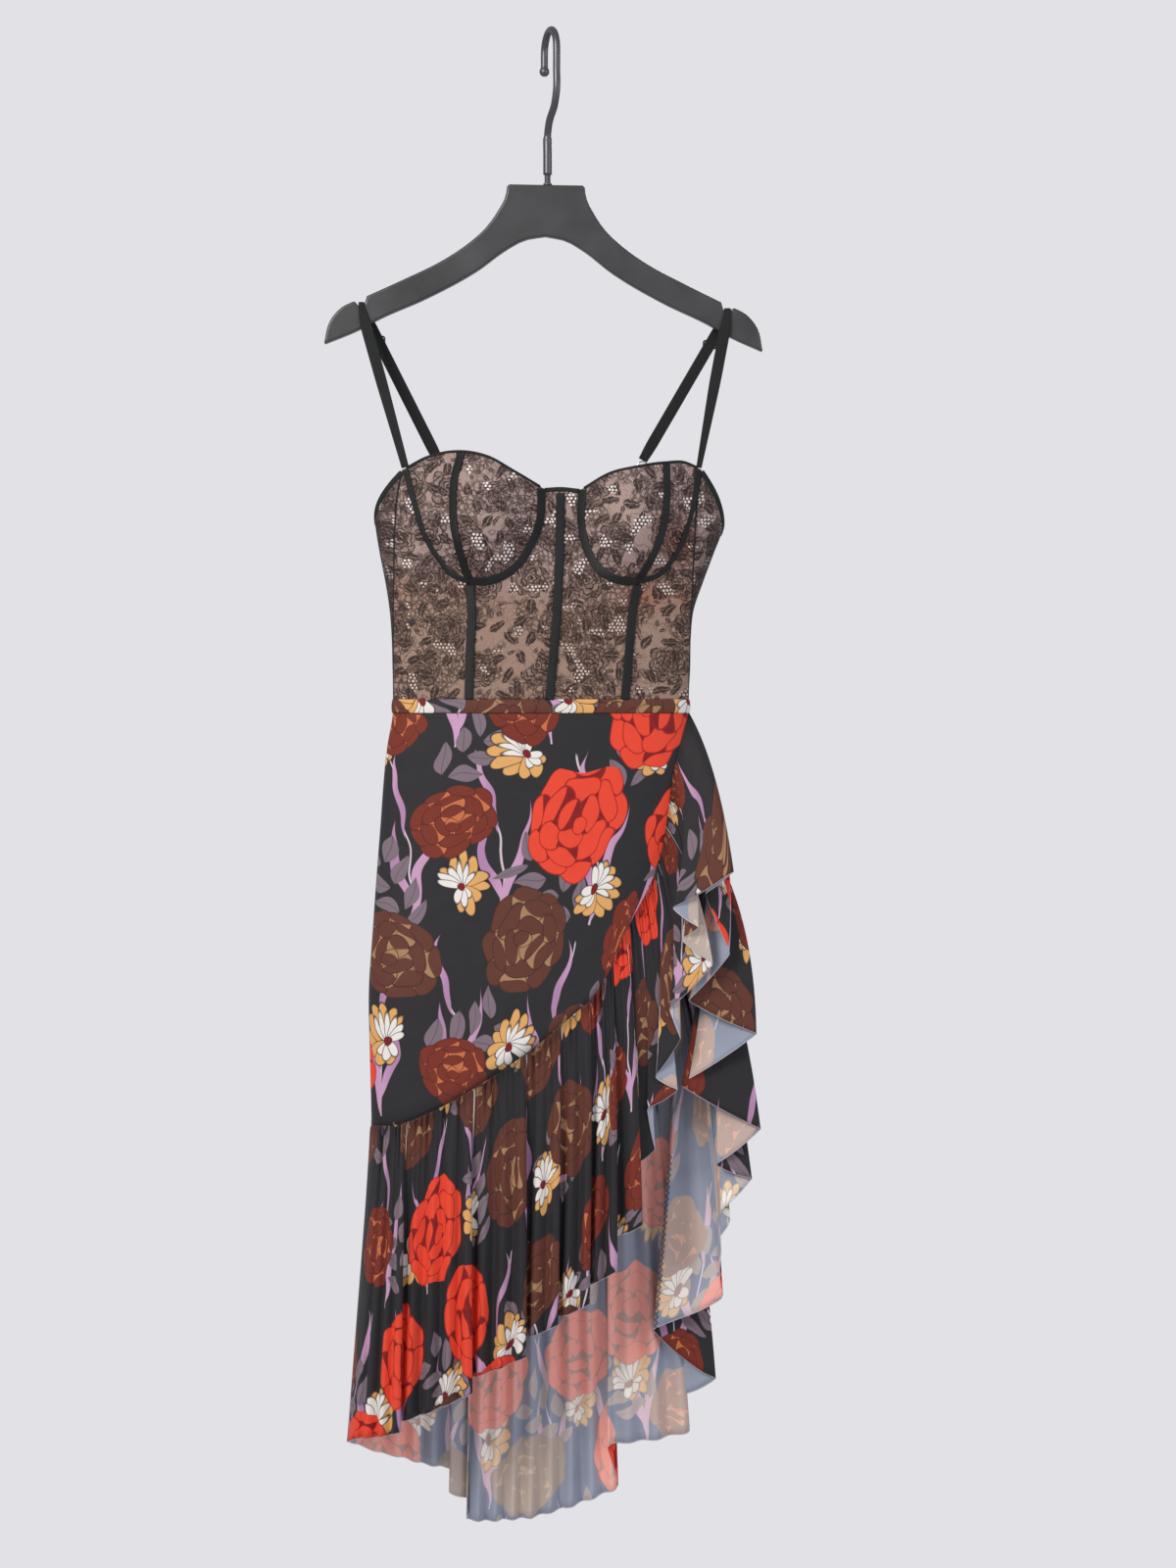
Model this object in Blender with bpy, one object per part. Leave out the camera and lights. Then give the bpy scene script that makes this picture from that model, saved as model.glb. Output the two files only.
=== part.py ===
"""High-low dress with a corset bodice and one slanted, gathered ruffle, hung flat on a hanger.

Front view sizes are millimetres on one elevation drawing: "across" runs to the right and "down"
runs downwards from the drawing's corner. The hook bears on its rail at HOOK_ACROSS, HOOK_DOWN,
and that point is the origin. "depth" is the distance behind the hanger's middle plane, so the
wearer's front is negative. Cloth is a closed wall round a surface that is worked out from these.
"""

import math

import bpy
import numpy as np

HOOK_ACROSS = 562.0
HOOK_DOWN = 39.0

SEAM_GAP = 0.3
LACE = 1.6
CUP = 2.4
SKIRT = 1.2
RUFFLE = 1.0
TRIM = 1.0
STRAP = 1.5

WAIST_DOWN = 714.0
SKIRT_TOP = 727.0
CROSS_SECTION_POWER = 2.4

# The flattened tube that the bodice and the skirt lie on, one row for each height.
TUBE = [
    # down, left, right, front, back
    (460, 384.5, 737.0, 38, 28),
    (540, 384.5, 737.0, 43, 31),
    (565, 388.5, 727.5, 43, 32),
    (596, 394.5, 716.0, 42, 33),
    (623, 398.5, 707.0, 41, 34),
    (650, 400.5, 704.2, 40, 35),
    (681, 401.3, 703.6, 39, 36),
    (714, 402.0, 702.0, 38, 36),
    (727, 401.5, 702.0, 38, 37),
    (760, 396.0, 703.5, 39, 38),
    (850, 388.0, 704.0, 42, 40),
    (950, 380.5, 704.0, 45, 42),
    (1010, 376.5, 703.0, 46, 43),
    (1080, 377.5, 702.0, 46, 43),
    (1150, 379.0, 700.0, 46, 43),
    (1260, 379.0, 700.0, 46, 43),
]

# Each cup is a dome over the underwire: its middle, its reach each way, and how far it stands out.
CUPS = {
    "left": dict(across=494, down=532, wide=60, below=62, above=118, proud=35),
    "right": dict(across=647, down=534, wide=56, below=60, above=118, proud=35),
}
CUP_SQUARENESS = 1.7
CUP_SOFTNESS = 0.12

# Seam lines on the front, (across, down), each from its top or its left end.
NECK = {
    "left": [(416, 480.5), (440, 469), (474.5, 465.5), (499, 471), (525, 485), (552.5, 500.5)],
    "right": [(595.5, 502), (624, 487), (646, 482), (677.7, 476), (696, 474.5), (711, 480)],
}
GORE_TOP = {"left": (556.5, 502.4), "middle": (572.6, 501.5), "right": (591.5, 503.4)}
UNDERWIRE_OUTER = {
    "left": [(416, 480.5), (425.5, 516), (436.6, 549), (451.4, 573), (464.4, 588), (481, 594.5)],
    "right": [(711, 480), (706.5, 512), (698, 543), (686, 570), (670, 588), (650, 594)],
}
UNDERWIRE_INNER = {
    "left": [(552.5, 500.5), (551, 533), (542, 558), (527, 580), (505, 592.5), (481, 594.5)],
    "right": [(595.5, 502), (594.5, 538), (600, 563), (612, 583), (629, 592.5), (650, 594)],
}
CUP_SEAM = {
    "left": [(474.5, 465.5), (468, 489), (466, 514), (467, 540), (472, 564), (481, 594.5)],
    "right": [(677.7, 476), (678, 498), (677.5, 520), (674, 543), (666, 566), (650, 594)],
}
CENTRE_SEAM = [(572.6, 501.5), (571.7, 551), (570.5, 590), (568.5, 630), (565, 672), (561, WAIST_DOWN)]
LOWER_SEAM = {
    "left": [(481, 594.5), (483, 625), (481.5, 662), (480, WAIST_DOWN)],
    "right": [(650, 594), (644.5, 625), (641.5, 662), (637, WAIST_DOWN)],
}
SIDE_SEAM = {
    "left": [
        (412.4, 482), (408, 507), (405, 540), (403.8, 580), (402.8, 625), (402.3, 665), (402.4, WAIST_DOWN),
    ],
    "right": [
        (715, 482), (711.5, 502), (708.5, 528), (706.8, 560), (705.6, 595), (703.6, 640), (701.6, WAIST_DOWN),
    ],
}
WIRE_WIDTH = {"outer": 6.0, "inner": 9.0}
CHANNEL_WIDTH = 9.0
CUP_ROWS = 10
PANEL_INSET = 0.21
# The back starts this far round from the side seam, in radians.
SIDE_SEAM_TURN = 0.028
SKIRT_ROWS = 11
SKIRT_COLUMNS = 17

# The back's top edge: the turn round the body from the left side, in degrees, and how far down.
BACK_EDGE = [
    # turn, down
    (-38, 479),
    (-20, 505),
    (0, 529),
    (25, 541),
    (60, 548),
    (90, 551),
    (120, 550),
    (155, 545),
    (178, 541),
    (190, 529),
    (204, 500),
    (214, 478),
]

FRONT_SEAM = [
    (378.6, 1147), (402, 1145), (440, 1131), (500, 1096), (550, 1061), (580, 1036), (613, 1004),
    (632, 962), (646, 932), (663, 900), (676, 860), (682, 820), (688, 779), (695, 752), (702.4, 727),
]
FRONT_CORNER = 8
BACK_SEAM = [
    (702.4, 727), (703.3, 790), (703, 860), (700, 950), (695, 1020), (684, 1065), (660, 1101),
    (600, 1150), (540, 1177), (490, 1187), (430, 1177), (378.6, 1149),
]
BACK_CORNER = 5

# The ruffle, a row for each fold: where the fold starts along the seam, its hem point, how far
# the cloth puffs out sideways under the seam, and the small flutes between it and the row above.
FRONT_FOLDS = [
    # seam, across, depth, down, puff, flutes, flute depth
    (0, 353, -0.5, 1475, 0, 0, 0),
    (5, 354, -14, 1474, 0, 0, 0),
    (12, 362, -34, 1471, 0, 0, 0),
    (36, 407, -52, 1464, 0, 3, 6),
    (38, 401, -40, 1456, 0, 0, 0),
    (112, 481, -54, 1424, 0, 4, 7),
    (115, 474, -40, 1410, 0, 0, 0),
    (178, 537, -54, 1386, 2, 3, 7),
    (181, 530, -40, 1368, 2, 0, 0),
    (222, 570, -53, 1353, 3, 2, 6),
    (225, 564, -41, 1347, 3, 0, 0),
    (262, 602, -52, 1332, 4, 2, 6),
    (265, 595, -40, 1314, 4, 0, 0),
    (303, 630, -50, 1298, 5, 2, 6),
    (307, 624, -38, 1264, 5, 0, 0),
    (342, 656.5, -46, 1251, 6, 1, 4),
    (348, 650, -33, 1188, 6, 0, 0),
    (362, 668.5, -31, 1175, 6, 0, 0),
    (374, 660.5, -35, 1131, 8, 0, 0),
    (388, 693, -39, 1112, 10, 0, 0),
    (402, 668, -43, 1099, 12, 0, 0),
    (418, 695, -47, 1060, 14, 0, 0),
    (436, 683, -51, 1029, 16, 0, 0),
    (456, 729, -55, 982, 18, 0, 0),
    (474, 694, -59, 957, 20, 0, 0),
    (486, 714, -62, 945, 21, 0, 0),
    (505, 685.5, -66, 925, 22, 0, 0),
    (540, 744, -63, 891, 16, 0, 0),
    (566, 748.5, -60, 888.5, 16, 0, 0),
    (600, 748.5, -55.2, 888, 16, 0, 0),
]
SIDE_FOLDS = [
    (1.5, 748.5, -52.6, 888, 16, 0, 0),
    (4, 748.5, -48.2, 888.5, 17, 0, 0),
    (10, 744, -46, 892, 18, 0, 0),
    (24, 719, -44, 911, 28, 0, 0),
    (50, 746, -42, 972, 38, 0, 0),
    (76, 702, -38, 1021, 36, 0, 0),
    (108, 773, -31, 1055, 45, 0, 0),
    (138, 693, -24, 1107, 30, 0, 0),
    (170, 777, -16, 1153, 30, 0, 0),
    (196, 730, -8, 1190, 24, 0, 0),
    (212, 768, -2, 1204, 24, 0, 0),
    (228, 736, 4, 1237, 20, 0, 0),
    (240, 747, 9, 1247, 20, 0, 0),
    (252, 734, 14, 1265, 16, 0, 0),
    (285, 738, 20, 1328, 16, 0, 0),
    (318, 669, 25, 1358.5, 6, 1, 4),
    (322, 667, 28, 1360.5, 6, 0, 0),
    (326, 667, 33, 1361, 6, 0, 0),
]
BACK_FOLDS = [
    (327.5, 667, 34.2, 1361, 6, 0, 0),
    (331, 667, 39, 1361.5, 7, 0, 0),
    (340, 705, 42, 1396, 10, 0, 0),
    (352, 732, 46, 1411, 20, 0, 0),
    (365, 697, 50, 1428, 12, 0, 0),
    (378, 705, 52, 1466, 10, 0, 0),
    (440, 621, 46, 1479, 4, 3, 6),
    (446, 631, 58, 1524, 3, 0, 0),
    (520, 545, 54, 1554, 0, 4, 7),
    (588, 473, 46, 1557, 0, 4, 7),
    (593, 478, 56, 1534, 0, 0, 0),
    (604, 458, 46, 1530, 0, 0, 0),
    (608, 463, 56, 1504, 0, 0, 0),
    (660, 408, 48, 1492, 0, 3, 6),
    (686, 362, 34, 1478, 0, 2, 5),
    (694, 354, 14, 1475, 0, 0, 0),
    (720, 353, 0.5, 1475, 0, 0, 0),
]
FOLD_ROUNDING = 2.2
RUFFLE_ROWS = np.array([0, 0.06, 0.17, 0.33, 0.53, 0.76, 1.0])

HANGER_MIDDLE = 556.5
HANGER_THICK = 13.0
HANGER_TILT = math.radians(1.0)
HANGER_EDGE = 2.5
# Half of the hanger's outline, from the middle of its top edge round the tip to the middle below.
HANGER_HALF = [
    # out from the middle, down
    (37, 192), (39.5, 194), (41, 204), (49, 220), (62, 238), (80, 254), (102, 269), (145, 291),
    (180, 307.5), (182.5, 316), (189, 317), (192, 312.5), (205, 319), (217, 333), (223, 357),
    (186, 341), (168, 331), (120, 309), (67, 279), (39, 258), (21, 248), (0, 244),
]
WIRE_RADIUS = 3.75
HOOK_INSIDE = 17.0
HOOK_TURN = math.radians(18)

NOTCH = {"left": (370.1, 312.4), "right": (741.6, 318.6)}
STRAP_FOOT = {"left": (415.5, 479.4), "right": (712, 479.6)}
STRAP_RING = {"left": (448.5, 479), "right": (656, 480)}
TAB_FOOT = {"left": (478, 546.8), "right": (622, 548.6)}
STRAP_WIDTH = 11.5
STRAP_FOOT_WIDTH = {"left": 7.5, "right": 5.5}
RING_RADIUS = 5.6
RING_WIRE = 0.8
# From the ring's middle to the end of the strap or tab that it joins.
RING_REACH = 7.5
RING_END_WIDTH = 5.0
BINDING = 0.8
RUFFLE_CLEAR = 0.7
CHANNEL_CLEAR = 0.8
SIDES = ("left", "right")

COLOURS = {
    "lace": ((0.16, 0.10, 0.085), 0.85, 0.0),
    "satin": ((0.02, 0.022, 0.02), 0.4, 0.0),
    "elastic": ((0.02, 0.02, 0.022), 0.7, 0.0),
    "print": ((0.06, 0.03, 0.03), 0.6, 0.0),
    "hanger": ((0.04, 0.04, 0.042), 0.35, 0.0),
    "metal": ((0.75, 0.75, 0.76), 0.25, 1.0),
}


def clear_scene():
    for thing in list(bpy.data.objects):
        bpy.data.objects.remove(thing, do_unlink=True)


def finish_of(name, kind):
    """A material of its own for one piece."""
    colour, roughness, metallic = COLOURS[kind]
    material = bpy.data.materials.new(name + "_finish")
    material.use_nodes = True
    shader = material.node_tree.nodes["Principled BSDF"]
    shader.inputs["Base Color"].default_value = (*colour, 1)
    shader.inputs["Roughness"].default_value = roughness
    shader.inputs["Metallic"].default_value = metallic
    return material


def space(across, depth, down):
    """Drawing millimetres to metres round the hook's bearing point."""
    across, depth, down = np.broadcast_arrays(across, depth, down)
    return np.stack([across - HOOK_ACROSS, depth, HOOK_DOWN - down], axis=-1) / 1000


def signed_volume(points, faces):
    total = 0.0
    for face in faces:
        for second, third in zip(face[1:-1], face[2:]):
            total += np.dot(points[face[0]], np.cross(points[second], points[third]))
    return total


def solid(name, points, faces, kind):
    """One named object from points in metres, with its faces turned outwards."""
    points = np.asarray(points, float)
    if signed_volume(points - points.mean(axis=0), faces) < 0:
        faces = [face[::-1] for face in faces]
    mesh = bpy.data.meshes.new(name)
    mesh.from_pydata(points.tolist(), [], [[int(corner) for corner in face] for face in faces])
    mesh.shade_smooth()
    mesh.set_sharp_from_angle(angle=math.radians(50))
    thing = bpy.data.objects.new(name, mesh)
    bpy.context.collection.objects.link(thing)
    mesh.materials.append(finish_of(name, kind))
    return thing


def difference(points, axis, looped):
    if looped:
        return np.roll(points, -1, axis=axis) - np.roll(points, 1, axis=axis)
    return np.gradient(points, axis=axis)


def unit(vectors):
    return vectors / np.maximum(np.linalg.norm(vectors, axis=-1, keepdims=True), 1e-12)


def grid_normals(grid, looped=False):
    return unit(np.cross(difference(grid, 0, False), difference(grid, 1, looped)))


def wall(name, grid, thick, kind, looped=False, normals=None):
    """A closed wall of even thickness (mm) round a grid of surface points (m)."""
    rows, columns = grid.shape[:2]
    if normals is None:
        normals = grid_normals(grid, looped)
    half = normals * thick / 2000
    points = np.concatenate([(grid + half).reshape(-1, 3), (grid - half).reshape(-1, 3)])
    inner = rows * columns
    faces = []
    last = columns if looped else columns - 1
    for row in range(rows - 1):
        for column in range(last):
            corners = [
                row * columns + column,
                row * columns + (column + 1) % columns,
                (row + 1) * columns + (column + 1) % columns,
                (row + 1) * columns + column,
            ]
            faces.append(corners)
            faces.append([corner + inner for corner in corners[::-1]])
    border = [[column, column + 1] for column in range(columns - 1)]
    if looped:
        border = [[column, (column + 1) % columns] for column in range(columns)]
    far = (rows - 1) * columns
    for start, end in border:
        faces.append([end, start, start + inner, end + inner])
        faces.append([far + start, far + end, far + end + inner, far + start + inner])
    if not looped:
        for row in range(rows - 1):
            start, end = row * columns, (row + 1) * columns
            faces.append([start, end, end + inner, start + inner])
            start, end = start + columns - 1, end + columns - 1
            faces.append([end, start, start + inner, end + inner])
    return solid(name, points, faces, kind)


def through(points, count):
    """A smooth curve through the points, cut into even lengths."""
    points = np.array(points, float)
    steps = np.concatenate([[0], np.cumsum(np.linalg.norm(np.diff(points, axis=0), axis=1))])
    fine = np.linspace(0, steps[-1], max(200, 8 * count))
    dense = np.stack([smooth(fine, steps, points[:, axis]) for axis in range(points.shape[1])], axis=1)
    lengths = np.concatenate([[0], np.cumsum(np.linalg.norm(np.diff(dense, axis=0), axis=1))])
    even = np.linspace(0, lengths[-1], count)
    return np.stack([np.interp(even, lengths, dense[:, axis]) for axis in range(points.shape[1])], axis=1)


def smooth(where, knots, values):
    """Cubic interpolation whose slope at each knot is that of its neighbours."""
    knots, values = np.array(knots, float), np.array(values, float)
    slopes = np.gradient(values, knots)
    place = np.clip(np.searchsorted(knots, where) - 1, 0, len(knots) - 2)
    span = knots[place + 1] - knots[place]
    part = np.clip((where - knots[place]) / span, 0, 1)
    return (
        (2 * part**3 - 3 * part**2 + 1) * values[place]
        + (part**3 - 2 * part**2 + part) * span * slopes[place]
        + (3 * part**2 - 2 * part**3) * values[place + 1]
        + (part**3 - part**2) * span * slopes[place + 1]
    )


def tube_at(down):
    """Middle, half width, front and back depth of the tube at a height."""
    table = np.array(TUBE, float)
    left, right, front, back = (smooth(down, table[:, 0], table[:, column]) for column in (1, 2, 3, 4))
    return (left + right) / 2, (right - left) / 2, front, back


def cup_dome(across, down):
    """How far the cups stand out of the tube's front."""
    total = np.zeros(np.broadcast(across, down).shape)
    for cup in CUPS.values():
        reach = np.where(down > cup["down"], cup["below"], cup["above"])
        sideways = np.abs((across - cup["across"]) / cup["wide"]) ** CUP_SQUARENESS
        upwards = np.abs((down - cup["down"]) / reach) ** CUP_SQUARENESS
        inside = (1 - sideways - upwards) / CUP_SOFTNESS
        total = total + cup["proud"] * CUP_SOFTNESS * np.logaddexp(0, np.clip(inside, -20, 20))
    return total


def front_depth(across, down):
    middle, half, front, _ = tube_at(down)
    out = np.clip(np.abs((across - middle) / half), 0, 1)
    flat = (1 - out**CROSS_SECTION_POWER) ** (1 / CROSS_SECTION_POWER)
    return -front * flat - SEAM_GAP / 2 - cup_dome(across, down)


def back_depth(across, down):
    middle, half, _, back = tube_at(down)
    out = np.clip(np.abs((across - middle) / half), 0, 1)
    return back * (1 - out**CROSS_SECTION_POWER) ** (1 / CROSS_SECTION_POWER) + SEAM_GAP / 2


def tube_value(across, depth, down):
    """1 on the tube and its cups, less inside them."""
    middle, half, front, back = tube_at(down)
    proud = np.where(depth < 0, cup_dome(across, down), 0)
    through_depth = (depth + proud) / np.where(depth < 0, front, back)
    return np.abs((across - middle) / half) ** CROSS_SECTION_POWER + np.abs(through_depth) ** CROSS_SECTION_POWER


def tube_normals(across, depth, down):
    """The way out of the tube, as the slope of its value."""
    step = 0.25
    right = tube_value(across + step, depth, down) - tube_value(across - step, depth, down)
    rear = tube_value(across, depth + step, down) - tube_value(across, depth - step, down)
    up = tube_value(across, depth, down - step) - tube_value(across, depth, down + step)
    return unit(np.stack([right, rear, up], axis=-1))


def onto_tube(points):
    """Points (m) near the tube moved along its normals onto it, and those normals."""
    spread = 0.2
    for _ in range(3):
        across, depth, down = points[..., 0] * 1000 + HOOK_ACROSS, points[..., 1] * 1000, HOOK_DOWN - points[..., 2] * 1000
        normals = tube_normals(across, depth, down)
        ahead = normals * spread
        beyond = tube_value(across + ahead[..., 0], depth + ahead[..., 1], down - ahead[..., 2])
        here = tube_value(across, depth, down)
        points = points + normals * ((1 - here) / (beyond - here) * spread / 1000)[..., None]
    return points, normals


def on_front(flat):
    """Points and normals of the tube's front at flat points."""
    across, down = flat[..., 0], flat[..., 1]
    depth = front_depth(across, down)
    return space(across, depth, down), tube_normals(across, depth, down)


def on_back(flat):
    across, down = flat[..., 0], flat[..., 1]
    depth = back_depth(across, down)
    return space(across, depth, down), tube_normals(across, depth, down)


def patch(left, right, top, bottom):
    """Flat points inside four edges: a Coons patch. Left and right run down, top and bottom right."""
    rows, columns = len(left), len(top)
    down = np.linspace(0, 1, rows)[:, None, None]
    along = np.linspace(0, 1, columns)[None, :, None]
    corners = (
        (1 - down) * (1 - along) * top[0]
        + (1 - down) * along * top[-1]
        + down * (1 - along) * bottom[0]
        + down * along * bottom[-1]
    )
    sides = (1 - along) * left[:, None] + along * right[:, None]
    return sides + (1 - down) * top[None] + down * bottom[None] - corners


def shrink(flat, gap):
    """Moves a patch's border points in by the gap, along its own rows and columns."""
    flat = flat.copy()
    flat[0] += unit(flat[1] - flat[0]) * gap
    flat[-1] += unit(flat[-2] - flat[-1]) * gap
    flat[:, 0] += unit(flat[:, 1] - flat[:, 0]) * gap
    flat[:, -1] += unit(flat[:, -2] - flat[:, -1]) * gap
    return flat


def front_panel(name, flat, thick):
    flat = shrink(flat, PANEL_INSET)
    grid, normals = on_front(flat)
    return wall(name, grid, thick, "lace", normals=normals)


def seam_lines(side):
    """The seams of one front half as points that the pieces on both sides share."""
    lines = {
        "outer wire": through(UNDERWIRE_OUTER[side], 16),
        "inner wire": through(UNDERWIRE_INNER[side], 18),
        "cup": through(CUP_SEAM[side], CUP_ROWS),
        "lower": through(LOWER_SEAM[side], 9),
        "centre": through(CENTRE_SEAM, 9),
        "side": through(SIDE_SEAM[side], 24),
    }
    return lines


def cup_pieces(side):
    """The outer piece reaches from the strap to the cup seam, the inner one from there to the gore."""
    lines = seam_lines(side)
    outer_wire, inner_wire, seam = lines["outer wire"], lines["inner wire"], lines["cup"]
    corner = CUP_ROWS - 1
    wide_outer, wide_inner = len(outer_wire) - corner, len(inner_wire) - corner
    neck = NECK[side]
    if side == "left":
        outer = patch(outer_wire[:CUP_ROWS], seam, through(neck[:3], wide_outer), outer_wire[corner:])
        inner = patch(seam, inner_wire[:CUP_ROWS], through(neck[2:], wide_inner), inner_wire[corner:][::-1])
    else:
        outer = patch(seam, outer_wire[:CUP_ROWS], through(neck[3:], wide_outer), outer_wire[corner:][::-1])
        inner = patch(inner_wire[:CUP_ROWS], seam, through(neck[:4], wide_inner), inner_wire[corner:])
    front_panel(f"cup_outer_{side}", outer, CUP)
    front_panel(f"cup_inner_{side}", inner, CUP)
    edges = [shrink(part, PANEL_INSET)[:2] for part in (outer, inner)]
    if side == "right":
        edges = edges[::-1]
    neck_binding(side, np.concatenate(edges, axis=1))


def neck_binding(side, rows):
    """A binding made from the two top rows of both cup pieces."""
    rows = rows[:, 1:-1]
    grid, normals = on_front(rows)
    binding(f"neck_binding_{side}", grid, normals[0], CUP, 2.5)


def centre_front(side):
    """Between the gore, the underwire, the centre seam and the lower seam."""
    lines = seam_lines(side)
    gore = np.array([GORE_TOP[side], GORE_TOP["middle"]])
    top = np.concatenate([lines["inner wire"][::-1], through(gore, 3)])
    waist = through([lines["lower"][-1], lines["centre"][-1]], len(top))
    if side == "left":
        flat = patch(lines["lower"], lines["centre"], top, waist)
    else:
        flat = patch(lines["centre"], lines["lower"], top[::-1], waist[::-1])
    front_panel(f"centre_front_{side}", flat, LACE)


def side_front(side):
    """Between the underwire's outer end, the lower seam and the side seam."""
    lines = seam_lines(side)
    inner_edge = np.concatenate([lines["outer wire"], lines["lower"][1:]])
    top = through([lines["side"][0], inner_edge[0]], 7)
    waist = through([lines["side"][-1], inner_edge[-1]], 7)
    if side == "left":
        flat = patch(lines["side"], inner_edge, top, waist)
    else:
        flat = patch(inner_edge, lines["side"], top[::-1], waist[::-1])
    front_panel(f"side_front_{side}", flat, LACE)


def turn_of(side, down):
    """The turn round the tube, in radians from its left edge, at which the back meets a side front."""
    seam = np.array(SIDE_SEAM[side])
    middle, half, _, _ = tube_at(down)
    inset = PANEL_INSET if side == "left" else -PANEL_INSET
    across = smooth(np.clip(down, seam[0, 1], seam[-1, 1]), seam[:, 1], seam[:, 0]) + inset
    out = np.clip(np.abs((across - middle) / half), 0, 1) ** (CROSS_SECTION_POWER / 2)
    return SIDE_SEAM_TURN - np.arccos(out) if side == "left" else math.pi + np.arccos(out) - SIDE_SEAM_TURN


def round_tube(turn, down):
    """Points and normals of the tube at a turn from its left edge over the back to its right edge."""
    middle, half, front, back = tube_at(down)
    cosine, sine = np.cos(turn), np.sin(turn)
    power = 2 / CROSS_SECTION_POWER
    across = middle - half * np.sign(cosine) * np.abs(cosine) ** power
    depth = np.where(sine > 0, back, front) * np.sign(sine) * np.abs(sine) ** power
    down = np.broadcast_to(down, across.shape)
    return space(across, depth, down), tube_normals(across, depth, down)


def back_edge(turn):
    table = np.array(BACK_EDGE, float)
    return smooth(np.degrees(turn), table[:, 0], table[:, 1])


def bodice_back():
    """One lace panel from side seam to side seam, over both armhole edges and the back."""
    columns, rows = 29, 10
    share = np.linspace(0, 1, columns)
    # More columns near both sides, where the tube turns sharply.
    share = share - 0.72 * np.sin(2 * math.pi * share) / (2 * math.pi)
    top = np.full(columns, 500.0)
    for _ in range(12):
        left, right = turn_of("left", top), turn_of("right", top)
        top = back_edge(left + share * (right - left))
    grid, normals = np.empty((rows, columns, 3)), np.empty((rows, columns, 3))
    for row, part in enumerate(np.linspace(0, 1, rows)):
        down = top + part * (WAIST_DOWN - SEAM_GAP / 2 - top)
        left, right = turn_of("left", down), turn_of("right", down)
        grid[row], normals[row] = round_tube(left + share * (right - left), down)
    wall("bodice_back", grid, LACE, "lace", normals=normals)
    for name, first, last, deep, clear in (
        ("armhole_binding_left", 1, 10, 3, 0.5),
        ("back_binding", 10, 19, 3, 0.5),
        ("armhole_binding_right", 19, 29, 1.2, 0.85),
    ):
        # Ends a little apart, so that neighbours on the same edge don't touch.
        stretch = np.linspace(first + 0.04, last - (0.04 if last < columns else 1.4), last - first + 1)
        rows_of = np.stack([at_columns(grid[row], stretch) for row in (0, 1)])
        binding(name, rows_of, unit(at_columns(normals[0], stretch)), LACE, deep, clear)


def at_columns(row, places):
    """Values of a row of points at fractional column numbers."""
    return np.stack([np.interp(places, np.arange(len(row)), row[:, axis]) for axis in range(3)], axis=1)


def strip_on_front(name, path, width, over):
    """A flat tape on the front surface along a path, moved out of whatever cloth it covers."""
    widths = np.full(len(path), float(width))
    ahead = unit(np.gradient(path, axis=0))
    sideways = np.stack([-ahead[:, 1], ahead[:, 0]], axis=1) * widths[:, None] / 2
    flat = np.stack([path - sideways, path, path + sideways], axis=1)
    grid, normals = on_front(flat)
    grid = grid + normals * (over / 2 + CHANNEL_CLEAR + TRIM / 2) / 1000
    return wall(name, grid, TRIM, "satin", normals=normals)


def trimmed(path, start, end):
    """The path without its first and last stretch, in millimetres, at as many points."""
    length = np.concatenate([[0], np.cumsum(np.linalg.norm(np.diff(path, axis=0), axis=1))])
    even = np.linspace(start, length[-1] - end, len(path))
    return np.stack([np.interp(even, length, path[:, axis]) for axis in range(2)], axis=1)


def channels():
    for side in SIDES:
        lines = seam_lines(side)
        strip_on_front(f"wire_channel_outer_{side}", trimmed(lines["outer wire"], 5, 1.5), WIRE_WIDTH["outer"], CUP)
        strip_on_front(f"wire_channel_inner_{side}", trimmed(lines["inner wire"], 5, 1.5), WIRE_WIDTH["inner"], CUP)
        strip_on_front(f"cup_channel_{side}", trimmed(lines["cup"], 5.5, 10), CHANNEL_WIDTH, CUP)
        strip_on_front(f"lower_channel_{side}", trimmed(lines["lower"], 7, 0.5), CHANNEL_WIDTH, CUP)
    strip_on_front("centre_channel", trimmed(seam_lines("left")["centre"], 5, 0.5), CHANNEL_WIDTH, LACE)


def binding(name, rows, normals, thick, deep, clear=0.5):
    """A tape folded over a wall's edge, from the wall's border row and the row next to it."""
    edge = rows[0]
    ahead = unit(np.gradient(edge, axis=0))
    outwards = rows[0] - rows[1]
    outwards = unit(outwards - normals * (outwards * normals).sum(axis=1, keepdims=True))
    outwards = unit(outwards - ahead * (outwards * ahead).sum(axis=1, keepdims=True))
    reach = (thick / 2 + clear + BINDING / 2) / 1000
    face = normals * reach
    rise = edge + outwards * (clear + BINDING) / 1000
    low, low_normals = onto_tube(edge - outwards * deep / 1000)
    grid = np.stack([low + low_normals * reach, rise + face, rise - face, low - low_normals * reach], axis=1)
    return wall(name, grid, BINDING, "satin")


def gore_binding():
    top = trimmed(through([GORE_TOP["left"], GORE_TOP["middle"], GORE_TOP["right"]], 6), 3, 4)
    lines = [top + [0, down] for down in (0.2, 6)]
    grid, normals = on_front(np.stack(lines))
    binding("gore_binding", grid, normals[0], LACE, 3.2)


def waist_band():
    """A closed band between the bodice and the skirt."""
    columns = 36
    share = np.arange(columns) / columns
    # More columns near both sides, where the tube turns sharply.
    turn = 2 * math.pi * (share + 0.5 * np.sin(4 * math.pi * share) / (4 * math.pi))
    ends = (WAIST_DOWN + SEAM_GAP / 2 + 0.1, SKIRT_TOP - SEAM_GAP)
    rows = [round_tube(turn, np.full(columns, down)) for down in ends]
    grid, normals = (np.stack([row[part] for row in rows]) for part in (0, 1))
    return wall("waist_band", grid, SKIRT, "print", looped=True, normals=normals)


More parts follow.
